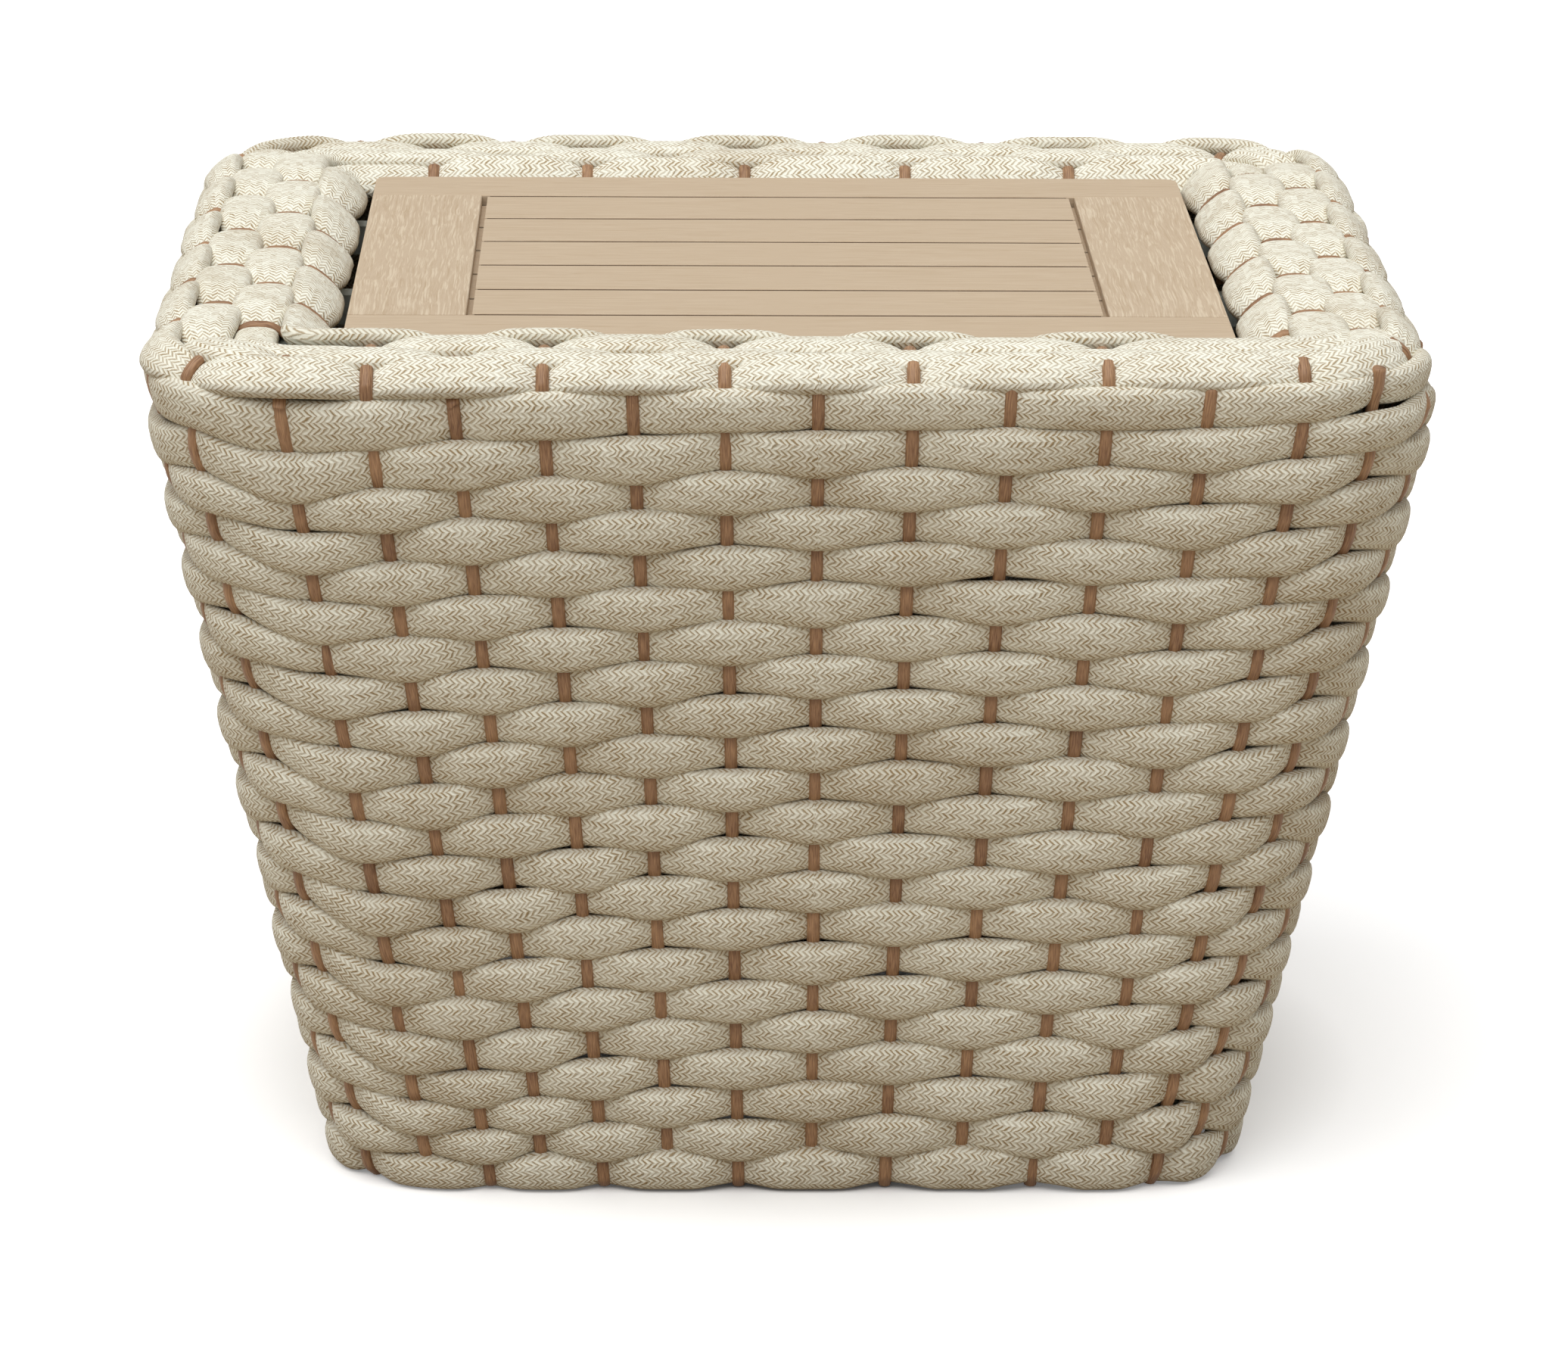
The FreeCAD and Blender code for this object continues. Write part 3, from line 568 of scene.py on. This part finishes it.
def rope_material():
    """Tubular braid of cream and tan polyester yarn, pressed flat: matte, with fine chevrons along the
    rope, tan flecks between the yarns, and faint smudges from use."""
    colours = bpy.context.scene.table_finishes
    material, tree, shader = new_material("polyester_braid", 0.93, specular_ior_level=0.2,
                                          sheen_weight=0.06)
    # The real chevrons are 2.4 mm apart; these are a fifth coarser, because the render loses finer ones
    chevron_run, columns, slant = 2.9 * MM, 21.0, 0.95
    uv = add_node(tree, "ShaderNodeUVMap", uv_map="braid")
    parts = add_node(tree, "ShaderNodeSeparateXYZ", {0: uv}).outputs
    place = add_node(tree, "ShaderNodeTexCoord").outputs["Object"]
    # Yarns lie unevenly, by about a quarter of a chevron
    stray = add_node(tree, "ShaderNodeTexNoise", {"Vector": place, "Scale": 1 / (4 * MM), "Detail": 3.0})
    stray = add_node(tree, "ShaderNodeMath", {0: stray, 1: 0.5}, operation="SUBTRACT")
    column = add_node(tree, "ShaderNodeMath", {0: parts[1], 1: columns}, operation="MULTIPLY")
    column = add_node(tree, "ShaderNodeMath", {0: stray, 1: 0.3, 2: column}, operation="MULTIPLY_ADD")
    zigzag = add_node(tree, "ShaderNodeMath", {0: column, 1: 1.0}, operation="PINGPONG")
    number = add_node(tree, "ShaderNodeMath", {0: column}, operation="FLOOR")
    run = add_node(tree, "ShaderNodeMath", {0: parts[0], 1: 1 / chevron_run}, operation="MULTIPLY")
    run = add_node(tree, "ShaderNodeMath", {0: stray, 1: 0.9, 2: run}, operation="MULTIPLY_ADD")
    # Every column is set off a little from the last
    run = add_node(tree, "ShaderNodeMath", {0: number, 1: 0.27, 2: run}, operation="MULTIPLY_ADD")
    slanted = add_node(tree, "ShaderNodeMath", {0: zigzag, 1: slant, 2: run}, operation="MULTIPLY_ADD")
    yarn = add_node(tree, "ShaderNodeMath", {0: slanted, 1: 0.5}, operation="PINGPONG")
    edge = add_node(tree, "ShaderNodeMath", {0: column, 1: 0.5}, operation="PINGPONG")
    # Each slanted yarn of each column takes its own share of tan
    cell = add_node(tree, "ShaderNodeCombineXYZ", {
        0: add_node(tree, "ShaderNodeMath", {0: slanted}, operation="FLOOR"), 1: number})
    pick = add_node(tree, "ShaderNodeTexWhiteNoise", {"Vector": cell}, noise_dimensions="2D")
    groove = add_node(tree, "ShaderNodeMapRange", {0: yarn, 1: 0.08, 2: 0.3, 3: 1.0, 4: 0.0})
    fleck = add_node(tree, "ShaderNodeMapRange", {0: pick, 1: 0.1, 2: 0.9, 3: 0.4, 4: 1.0})
    tan = add_node(tree, "ShaderNodeMath", {0: groove, 1: fleck}, operation="MULTIPLY")
    # Some yarns are duller all over, by up to a tenth
    tan = add_node(tree, "ShaderNodeMath", {0: pick, 1: 0.1, 2: tan}, operation="MULTIPLY_ADD")
    soil = add_node(tree, "ShaderNodeTexNoise", {"Vector": place, "Scale": 14.0, "Detail": 4.0})
    soil = add_node(tree, "ShaderNodeMapRange", {0: soil, 1: 0.5, 2: 0.8, 3: 0.0, 4: 0.3})
    tan = add_node(tree, "ShaderNodeMath", {0: tan, 1: soil}, operation="ADD", use_clamp=True)
    # Painted shade: the rope is darker along its edges and its back, between its neighbours, where shade
    # falls, and less so on the rim
    from_back = add_node(tree, "ShaderNodeMath", {0: parts[1], 1: 0.5}, operation="PINGPONG")
    up = add_node(tree, "ShaderNodeSeparateXYZ", {0: place}).outputs[2]
    crease_shade_strength = add_node(tree, "ShaderNodeMapRange", {0: up, 1: 0.4, 2: 0.42, 3: 0.42, 4: 0.14})
    painted_crease_shade = add_node(tree, "ShaderNodeMapRange", {0: from_back, 1: 0.28, 2: 0.35, 3: crease_shade_strength, 4: 0.0},
                      interpolation_type="SMOOTHSTEP")
    shade = linear(colours.yarn_cream)
    for part, yarn_colour in ((tan, colours.yarn_tan), (painted_crease_shade, colours.yarn_shade)):
        shade = add_node(tree, "ShaderNodeMix", {0: part, 6: shade, 7: linear(yarn_colour)},
                         data_type="RGBA").outputs[2]
    round_yarn = add_node(tree, "ShaderNodeMapRange", {0: yarn, 1: 0.0, 2: 0.4, 3: 0.0, 4: 1.0},
                          interpolation_type="SMOOTHSTEP")
    round_column = add_node(tree, "ShaderNodeMapRange", {0: edge, 1: 0.0, 2: 0.5, 3: 0.55, 4: 1.0})
    height = add_node(tree, "ShaderNodeMath", {0: round_yarn, 1: round_column}, operation="MULTIPLY")
    finish_shader(tree, shader, shade, height, 0.5 * MM, 0.7)
    return material


# Wicker strands

# Where a strand shows on the rim, in millimetres: steps across a rope 24 wide, and heights
RIM_HUMP = ((-9, 3.9), (-4.7, 6.1), (0, 6.5), (4.7, 6.1), (9, 3.9))
HUMP_HALF_ROPE = 12
# Where it shows on the wall: steps up it, the last one for the top row alone, and how it curls in from them
WALL_HUMP = (-5.5, 0, 5.5, 10.5)
WALL_CURL = 0.0045
LINE_STEPS = 4


def smooth_line(points):
    """Catmull-Rom line through points."""
    p = np.vstack((2 * points[0] - points[1], points, 2 * points[-1] - points[-2]))
    s = (np.arange(LINE_STEPS) / LINE_STEPS)[:, None]
    spans = [0.5 * (2 * b + (c - a) * s + (2 * a - 5 * b + 4 * c - d) * s**2
                    + (3 * b - a - 3 * c + d) * s**3)
             for a, b, c, d in zip(p, p[1:], p[2:], p[3:])]
    return np.vstack(spans + [points[-1:]])


def strand_line(weave, strand):
    """Points of a strand and the ways its flat side faces: up the wall, over the rim, into the recess."""
    sizes, basket = weave.pulls, weave.sizes
    heading = strand["headings"][0]
    out_way = outward(heading)
    points, facing = [], []

    def add(point, way):
        points.append(point)
        facing.append(way)

    for row in range(len(WALL_ROWS), 0, -1):
        point, wall_heading = weave.crossing(strand, row)
        normal = unit(np.cross(along(wall_heading), strand["climb"]))
        if row == len(WALL_ROWS):
            foot = weave.on_wall(strand, basket.foot_z)[0]
            add(foot + normal * sizes.strand_in, normal)
        if weave.over(strand, row):
            add(point + normal * sizes.strand_in, normal)
        else:
            for step in WALL_HUMP if row == 1 else WALL_HUMP[:-1]:
                share = 1 - WALL_CURL * step * step
                add(point + normal * sizes.strand_out * share + strand["climb"] * step * MM, normal)
    for rim in weave.rim:
        if not rim.meets(strand):
            break
        normal = rim.normal(heading)
        centre = strand["top"] - out_way * rim.inset
        if weave.over(strand, 1 - rim.number):
            # Hidden under the rope, and bent up to the rim before the outer one
            if rim.number == 1:
                add(rim.raised(centre, heading, -0.5 * MM, -11 * MM), out_way)
            add(rim.raised(centre, heading, -0.6 * MM), normal)
        else:
            # The outer rope's strands stand out; the others sink into the ropes
            sunk = 0.0 if rim.number == 1 else 0.8
            for step, height in RIM_HUMP:
                across = step / HUMP_HALF_ROPE * rim.half_width
                add(rim.raised(centre, heading, (height - sunk) * MM, across), normal)
        if rim.number == 4:
            # Down into the recess
            below = rim.raised(centre, heading, -rim.lift)
            for drop in (6, 12, 24):
                add(below - out_way * basket.bend - UP * drop * MM, -out_way)
    if strand["corner"]:
        # Its end is tucked in under the inner ropes
        for inward, drop in ((8.4 * MM, 2.4 * MM), (13.2 * MM, 4.8 * MM)):
            add(points[-1] - out_way * inward - UP * drop, UP)
    return smooth_line(np.array(points)), unit(smooth_line(np.array(facing)))


def wrap_lines():
    """Lines of the strand wound round the straight runs of the base ring, where the CAD wrap lies."""
    turn_steps = 14
    sizes = bpy.context.scene.weave_sizes
    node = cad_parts["base_wrap"]
    corners = np.array([vertex.co for vertex in node.data.vertices])
    low, high = corners.min(0), corners.max(0)
    radius = (high[2] - low[2]) / 2
    lines = []
    for axis in (0, 1):
        for way in (-1, 1):
            # Corners of the wrap on this run, without those on the runs across its ends
            beside = (high[1 - axis] - radius) * way
            run = corners[np.abs(corners[:, 1 - axis] - beside) < 1.1 * radius][:, axis]
            run = run[np.abs(run) < high[axis] - 2.2 * radius]
            for first, last in ((run.min(), run[run < 0].max()), (run[run > 0].min(), run.max())):
                count = round((last - first) / (sizes.turn_width * 1.04))
                turn = np.linspace(0, 2 * math.pi * count, turn_steps * count + 1)
                facing = np.zeros((len(turn), 3))
                facing[:, 1 - axis], facing[:, 2] = np.cos(turn), np.sin(turn)
                line = facing * (radius - sizes.turn_thickness / 2)
                line[:, axis] += np.linspace(first, last, len(turn))
                line[:, 1 - axis] += beside
                line[:, 2] += (low[2] + high[2]) / 2
                lines.append((line, facing))
    return lines


def strand_tree(material):
    """Geometry Nodes: a flattened strand along every line, with its run and width kept for the streaks."""
    tree = bpy.data.node_groups.new("wicker_strand", "GeometryNodeTree")
    keys = {}
    for name, way, kind in (("Lines", "INPUT", "Geometry"), ("Width", "INPUT", "Float"),
                            ("Thickness", "INPUT", "Float"), ("Strands", "OUTPUT", "Geometry")):
        keys[name] = tree.interface.new_socket(name, in_out=way, socket_type=f"NodeSocket{kind}").identifier
    group = add_node(tree, "NodeGroupInput").outputs
    facing = add_node(tree, "GeometryNodeInputNamedAttribute", {"Name": "facing"}, data_type="FLOAT_VECTOR")
    curves = add_node(tree, "GeometryNodeMeshToCurve", {0: group["Lines"]})
    curves = add_node(tree, "GeometryNodeSetCurveNormal", {"Curve": curves, "Normal": facing}, mode="FREE")
    run = add_node(tree, "GeometryNodeSplineParameter").outputs["Length"]
    curves = add_node(tree, "GeometryNodeStoreNamedAttribute", {0: curves, "Name": "run", "Value": run},
                      domain="POINT")
    circle = add_node(tree, "GeometryNodeCurvePrimitiveCircle", {"Resolution": 12, "Radius": 0.5})
    scale = add_node(tree, "ShaderNodeCombineXYZ", {0: group["Thickness"], 1: group["Width"], 2: 1.0})
    oval = add_node(tree, "GeometryNodeTransform", {"Geometry": circle, "Scale": scale})
    place = add_node(tree, "GeometryNodeInputPosition")
    across = add_node(tree, "ShaderNodeSeparateXYZ", {0: place}).outputs[1]
    oval = add_node(tree, "GeometryNodeStoreNamedAttribute", {0: oval, "Name": "across", "Value": across},
                    domain="POINT")
    swept = add_node(tree, "GeometryNodeCurveToMesh", {"Curve": curves, "Profile Curve": oval,
                                                       "Fill Caps": True})
    smooth = add_node(tree, "GeometryNodeSetShadeSmooth", {0: swept})
    real = add_node(tree, "GeometryNodeRealizeInstances", {0: smooth})
    dressed = add_node(tree, "GeometryNodeSetMaterial", {0: real, "Material": material})
    add_node(tree, "NodeGroupOutput", {0: dressed})
    return tree, keys


def strand_mesh(name, lines, tree, values):
    """Plain mesh of the strands that the tree makes along lines of points."""
    source = bpy.data.meshes.new(f"{name}_lines")
    points = np.vstack([line for line, _ in lines])
    starts = np.cumsum([0] + [len(line) for line, _ in lines])
    edges = [(i, i + 1) for first, last in zip(starts, starts[1:]) for i in range(first, last - 1)]
    source.from_pydata(points.tolist(), edges, [])
    facing = source.attributes.new("facing", "FLOAT_VECTOR", "POINT")
    facing.data.foreach_set("vector", np.vstack([ways for _, ways in lines]).ravel())
    carrier = bpy.data.objects.new(name, source)
    bpy.context.scene.collection.objects.link(carrier)
    modifier = carrier.modifiers.new("strands", "NODES")
    modifier.node_group = tree
    for key, value in values.items():
        modifier[key] = value
    graph = bpy.context.evaluated_depsgraph_get()
    mesh = bpy.data.meshes.new_from_object(carrier.evaluated_get(graph))
    mesh.name = name
    carrier.modifiers.remove(modifier)
    bpy.data.objects.remove(carrier)
    bpy.data.meshes.remove(source)
    return mesh


def strand_material():
    """Extruded polyethylene wicker in cane brown: satin, with lengthwise streaks like split cane."""
    colours = bpy.context.scene.table_finishes
    material, tree, shader = new_material("wicker_strand", 0.55)
    run = add_node(tree, "ShaderNodeAttribute", attribute_name="run").outputs["Fac"]
    across = add_node(tree, "ShaderNodeAttribute", attribute_name="across").outputs["Fac"]
    place = add_node(tree, "ShaderNodeTexCoord").outputs["Object"]
    # Streaks about half a millimetre wide and seven millimetres long
    vector = add_node(tree, "ShaderNodeCombineXYZ", {
        0: add_node(tree, "ShaderNodeMath", {0: run, 1: 1 / (7 * MM)}, operation="MULTIPLY"),
        1: add_node(tree, "ShaderNodeMath", {0: across, 1: 1 / (0.6 * MM)}, operation="MULTIPLY")})
    streak = add_node(tree, "ShaderNodeTexNoise", {"Vector": vector, "Scale": 1.0, "Detail": 3.0})
    patch = add_node(tree, "ShaderNodeTexNoise", {"Vector": place, "Scale": 22.0, "Detail": 2.0})
    blend = add_node(tree, "ShaderNodeMath", {0: streak, 1: 0.7, 2: add_node(
        tree, "ShaderNodeMath", {0: patch, 1: 0.4}, operation="MULTIPLY")}, operation="MULTIPLY_ADD")
    blend = add_node(tree, "ShaderNodeMapRange", {0: blend, 1: 0.38, 2: 0.7, 3: 0.0, 4: 1.0})
    mix = add_node(tree, "ShaderNodeMix", {0: blend, 6: linear(colours.cane_dark), 7: linear(colours.cane)},
                   data_type="RGBA")
    finish_shader(tree, shader, mix.outputs[2], streak, 0.3 * MM, 0.6)
    return material


# Wood-look boards

def board_material(name, grain_axis, pale_share):
    """Foamed polystyrene lumber with a brushed wood grain: light tan and matte, with fine dark lines
    and pale streaks along the board."""
    colours = bpy.context.scene.table_finishes
    material, tree, shader = new_material(name, 0.62, specular_ior_level=0.35)
    place = add_node(tree, "ShaderNodeTexCoord").outputs["Object"]
    # The grain wanders by about a millimetre
    warp = add_node(tree, "ShaderNodeTexNoise", {"Vector": place, "Scale": 35.0, "Detail": 1.0})
    warp = add_node(tree, "ShaderNodeVectorMath", {0: warp.outputs["Color"], 1: (0.5, 0.5, 0.5)},
                    operation="SUBTRACT")
    bent = add_node(tree, "ShaderNodeVectorMath", {0: warp, 1: (2.5 * MM,) * 3, 2: place},
                    operation="MULTIPLY_ADD")

    def stretched(width, run):
        """Pattern of this grain width and run along the board."""
        scale = [1 / width] * 3
        scale[grain_axis] = 1 / run
        return add_node(tree, "ShaderNodeMapping", {"Vector": bent, "Scale": scale})

    fine = add_node(tree, "ShaderNodeTexNoise", {"Vector": stretched(0.9 * MM, 60 * MM), "Scale": 1.0,
                                                 "Detail": 4.0, "Roughness": 0.65})
    streaks = add_node(tree, "ShaderNodeTexNoise", {"Vector": stretched(0.9 * MM, 34 * MM), "Scale": 1.0,
                                                    "Detail": 2.0})
    dark = add_node(tree, "ShaderNodeMapRange", {0: fine, 1: 0.45, 2: 0.75, 3: 0.0, 4: 0.8})
    pale = add_node(tree, "ShaderNodeMapRange", {0: streaks, 1: 0.5, 2: 0.66, 3: 0.0, 4: pale_share})
    # Painted shade: inside the slat field, the boards' sides below the slats' top face are painted dark, as
    # the shade in the gaps between them
    spot = add_node(tree, "ShaderNodeSeparateXYZ", {0: place}).outputs
    gap_shade = add_node(tree, "ShaderNodeMath", {0: spot[2], 1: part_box("slat_1")[1].z - 0.5 * MM},
                    operation="LESS_THAN")
    field = (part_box("right_end_board")[0].x - 4 * MM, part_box("back_rail")[0].y + 0.3 * MM)
    for axis, limit in enumerate(field):
        middle = add_node(tree, "ShaderNodeMath", {0: spot[axis]}, operation="ABSOLUTE")
        inside = add_node(tree, "ShaderNodeMath", {0: middle, 1: limit}, operation="LESS_THAN")
        gap_shade = add_node(tree, "ShaderNodeMath", {0: gap_shade, 1: inside}, operation="MULTIPLY")
    shade = linear(colours.board)
    for part, tint in ((dark, colours.board_dark), (pale, colours.board_pale), (gap_shade, colours.board_gap_shade)):
        shade = add_node(tree, "ShaderNodeMix", {0: part, 6: shade, 7: linear(tint)},
                         data_type="RGBA").outputs[2]
    finish_shader(tree, shader, shade, fine, 0.3 * MM, 0.5)
    return material


def gritty_material(name, shade, roughness, grit):
    """Finish with one colour and a fine grit: powder coat, moulded nylon or rubber."""
    material, tree, shader = new_material(name, roughness)
    place = add_node(tree, "ShaderNodeTexCoord").outputs["Object"]
    noise = add_node(tree, "ShaderNodeTexNoise", {"Vector": place, "Scale": 1 / grit, "Detail": 2.0})
    base = linear(shade)
    mix = add_node(tree, "ShaderNodeMix", {0: noise, 6: (*(0.85 * v for v in base[:3]), 1.0), 7: base},
                   data_type="RGBA")
    finish_shader(tree, shader, mix.outputs[2], noise, 0.15 * MM, 0.4)
    return material


# Operators, one for each group of pieces

class TABLE_OT_weave_wall(bpy.types.Operator):
    """Weave the ropes of the wall"""
    bl_idname = "table.weave_wall"
    bl_label = "Weave Wall"

    def execute(self, context):
        weave, material = Weave(), rope_material()
        for row, node in enumerate(WALL_ROWS, 1):
            keep_piece(wall_rope(weave, row, material), "rope", node)
        return {"FINISHED"}


class TABLE_OT_weave_rim(bpy.types.Operator):
    """Weave the ropes of the rim"""
    bl_idname = "table.weave_rim"
    bl_label = "Weave Rim"

    def execute(self, context):
        weave, material = Weave(), bpy.data.materials["polyester_braid"]
        for rim, node in zip(weave.rim, RIM_ROWS):
            keep_piece(rim_rope(weave, rim, material), "rope", node)
        return {"FINISHED"}


class TABLE_OT_raise_strands(bpy.types.Operator):
    """Raise the wicker strands, one piece for each side"""
    bl_idname = "table.raise_strands"
    bl_label = "Raise Strands"

    def execute(self, context):
        weave, material = Weave(), strand_material()
        sizes = context.scene.weave_sizes
        tree, keys = strand_tree(material)
        values = {keys["Width"]: sizes.strand_width, keys["Thickness"]: sizes.strand_thickness}
        for side, word in enumerate(SIDES):
            lines = [strand_line(weave, strand) for strand in weave.strands if strand["side"] == side]
            mesh = strand_mesh(f"strands_{word}_wicker", lines, tree, values)
            keep_piece(mesh, "strand", f"strands_{word}")
        turns = {keys["Width"]: sizes.turn_width, keys["Thickness"]: sizes.turn_thickness}
        keep_piece(strand_mesh("base_wrap_wicker", wrap_lines(), tree, turns), "strand", "base_wrap")
        return {"FINISHED"}


class TABLE_OT_finish_top(bpy.types.Operator):
    """Give the boards of the top their grain"""
    bl_idname = "table.finish_top"
    bl_label = "Finish Top"

    def execute(self, context):
        slats = [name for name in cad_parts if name.startswith("slat_")]
        dress(board_material("brushed_board_lengthways", 0, 0.18),
              "front_rail", "back_rail", "top_dowels", *slats)
        dress(board_material("brushed_board_crossways", 1, 0.6), "left_end_board", "right_end_board")
        return {"FINISHED"}


class TABLE_OT_paint_frame(bpy.types.Operator):
    """Paint the frame, and finish its pads and glides"""
    bl_idname = "table.paint_frame"
    bl_label = "Paint Frame"

    def execute(self, context):
        paint = gritty_material("powder_coat", context.scene.table_finishes.paint, 0.45, 1.2 * MM)
        metal = [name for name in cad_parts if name.endswith(("_ring", "_post", "_bar"))]
        dress(paint, "ring_spreaders", *metal)
        dress(gritty_material("moulded_rubber", "2A2826", 0.8, 1.0 * MM), "rest_pads")
        dress(gritty_material("moulded_nylon", "57534D", 0.5, 0.8 * MM), "floor_glides")
        return {"FINISHED"}


class TABLE_OT_set_stage(bpy.types.Operator):
    """Set the floor, the soft studio light and the camera"""
    bl_idname = "table.set_stage"
    bl_label = "Set Stage"

    def execute(self, context):
        scene = context.scene
        self.add_floor(scene)
        self.add_light(scene)
        self.add_camera(scene)
        scene.view_settings.view_transform = "Standard"
        return {"FINISHED"}

    def add_floor(self, scene):
        half = 8.0
        mesh = bpy.data.meshes.new("floor")
        mesh.from_pydata([(-half, -half, 0), (half, -half, 0), (half, half, 0), (-half, half, 0)], [],
                         [(0, 1, 2, 3)])
        material, tree, shader = new_material("pale_floor", 0.9, specular_ior_level=0.0,
                                              emission_color=(1, 1, 1, 1))
        # White to the camera; what it throws back on the wall is dimmer and warm
        path = add_node(tree, "ShaderNodeLightPath").outputs
        seen = add_node(tree, "ShaderNodeMath", {0: path["Is Camera Ray"], 1: path["Is Glossy Ray"]})
        seen = add_node(tree, "ShaderNodeMath", {0: seen, 1: path["Is Transmission Ray"]}, use_clamp=True)
        mix = add_node(tree, "ShaderNodeMix", {0: seen, 6: linear("9C8B72"), 7: linear("FFFFFF")},
                       data_type="RGBA")
        tree.links.new(mix.outputs[2], shader.inputs["Base Color"])
        # The floor under the basket stays in the dark
        place = add_node(tree, "ShaderNodeTexCoord").outputs["Object"]
        reach = add_node(tree, "ShaderNodeVectorMath", {0: place}, operation="LENGTH").outputs["Value"]
        clear = add_node(tree, "ShaderNodeMapRange", {0: reach, 1: 0.2, 2: 0.3, 3: 0.0, 4: 0.3})
        glow = add_node(tree, "ShaderNodeMath", {0: seen, 1: clear}, operation="MULTIPLY")
        tree.links.new(glow.outputs[0], shader.inputs["Emission Strength"])
        mesh.materials.append(material)
        floor = bpy.data.objects.new("floor", mesh)
        scene.collection.objects.link(floor)

    def add_light(self, scene):
        scene.world = bpy.data.worlds.new("studio")
        scene.world.use_nodes = True
        background = scene.world.node_tree.nodes["Background"].inputs
        background["Color"].default_value = (1, 1, 1, 1)
        background["Strength"].default_value = scene.stage_sizes.fill
        lamp = bpy.data.lights.new("soft_box", "SUN")
        lamp.energy = scene.stage_sizes.key * math.pi
        lamp.angle = math.radians(70)
        light = bpy.data.objects.new("soft_box", lamp)
        aim = Vector((0.22, 0.34, -1.0))
        light.rotation_euler = aim.to_track_quat("-Z", "Y").to_euler()
        scene.collection.objects.link(light)

    def add_camera(self, scene):
        sizes = scene.stage_sizes
        data = bpy.data.cameras.new("photo_camera")
        data.sensor_width = 36.0
        data.lens = sizes.focal_pixels / PHOTO_WIDTH * data.sensor_width
        data.clip_end = 50.0
        turn = (Matrix.Rotation(sizes.yaw, 4, "Z") @ Matrix.Rotation(math.pi / 2 - sizes.pitch, 4, "X")
                @ Matrix.Rotation(sizes.roll, 4, "Z"))
        camera = bpy.data.objects.new("photo_camera", data)
        camera.matrix_world = Matrix.Translation((sizes.camera_x, sizes.camera_y, sizes.camera_z)) @ turn
        scene.collection.objects.link(camera)
        scene.camera = camera


GROUPS = {"basket_sizes": BasketSizes, "weave_sizes": WeaveSizes, "table_finishes": Finishes,
          "stage_sizes": StageSizes}
OPERATORS = (TABLE_OT_weave_wall, TABLE_OT_weave_rim, TABLE_OT_raise_strands, TABLE_OT_finish_top,
             TABLE_OT_paint_frame, TABLE_OT_set_stage)


class VIEW3D_PT_rope_table(bpy.types.Panel):
    """Steps that dress the table"""
    bl_idname = "VIEW3D_PT_rope_table"
    bl_label = "Rope Table"
    bl_space_type = "VIEW_3D"
    bl_region_type = "UI"
    bl_category = "Rope Table"

    def draw(self, context):
        for operator in OPERATORS:
            self.layout.operator(operator.bl_idname)


def register():
    for name, group in GROUPS.items():
        bpy.utils.register_class(group)
        setattr(bpy.types.Scene, name, PointerProperty(type=group))
    for shown in (*OPERATORS, VIEW3D_PT_rope_table):
        bpy.utils.register_class(shown)


def unregister():
    for shown in (VIEW3D_PT_rope_table, *reversed(OPERATORS)):
        bpy.utils.unregister_class(shown)
    for name, group in GROUPS.items():
        delattr(bpy.types.Scene, name)
        bpy.utils.unregister_class(group)


def main():
    register()
    bpy.ops.table.weave_wall()
    bpy.ops.table.weave_rim()
    bpy.ops.table.raise_strands()
    bpy.ops.table.finish_top()
    bpy.ops.table.paint_frame()
    bpy.ops.table.set_stage()


if __name__ == "__main__":
    main()
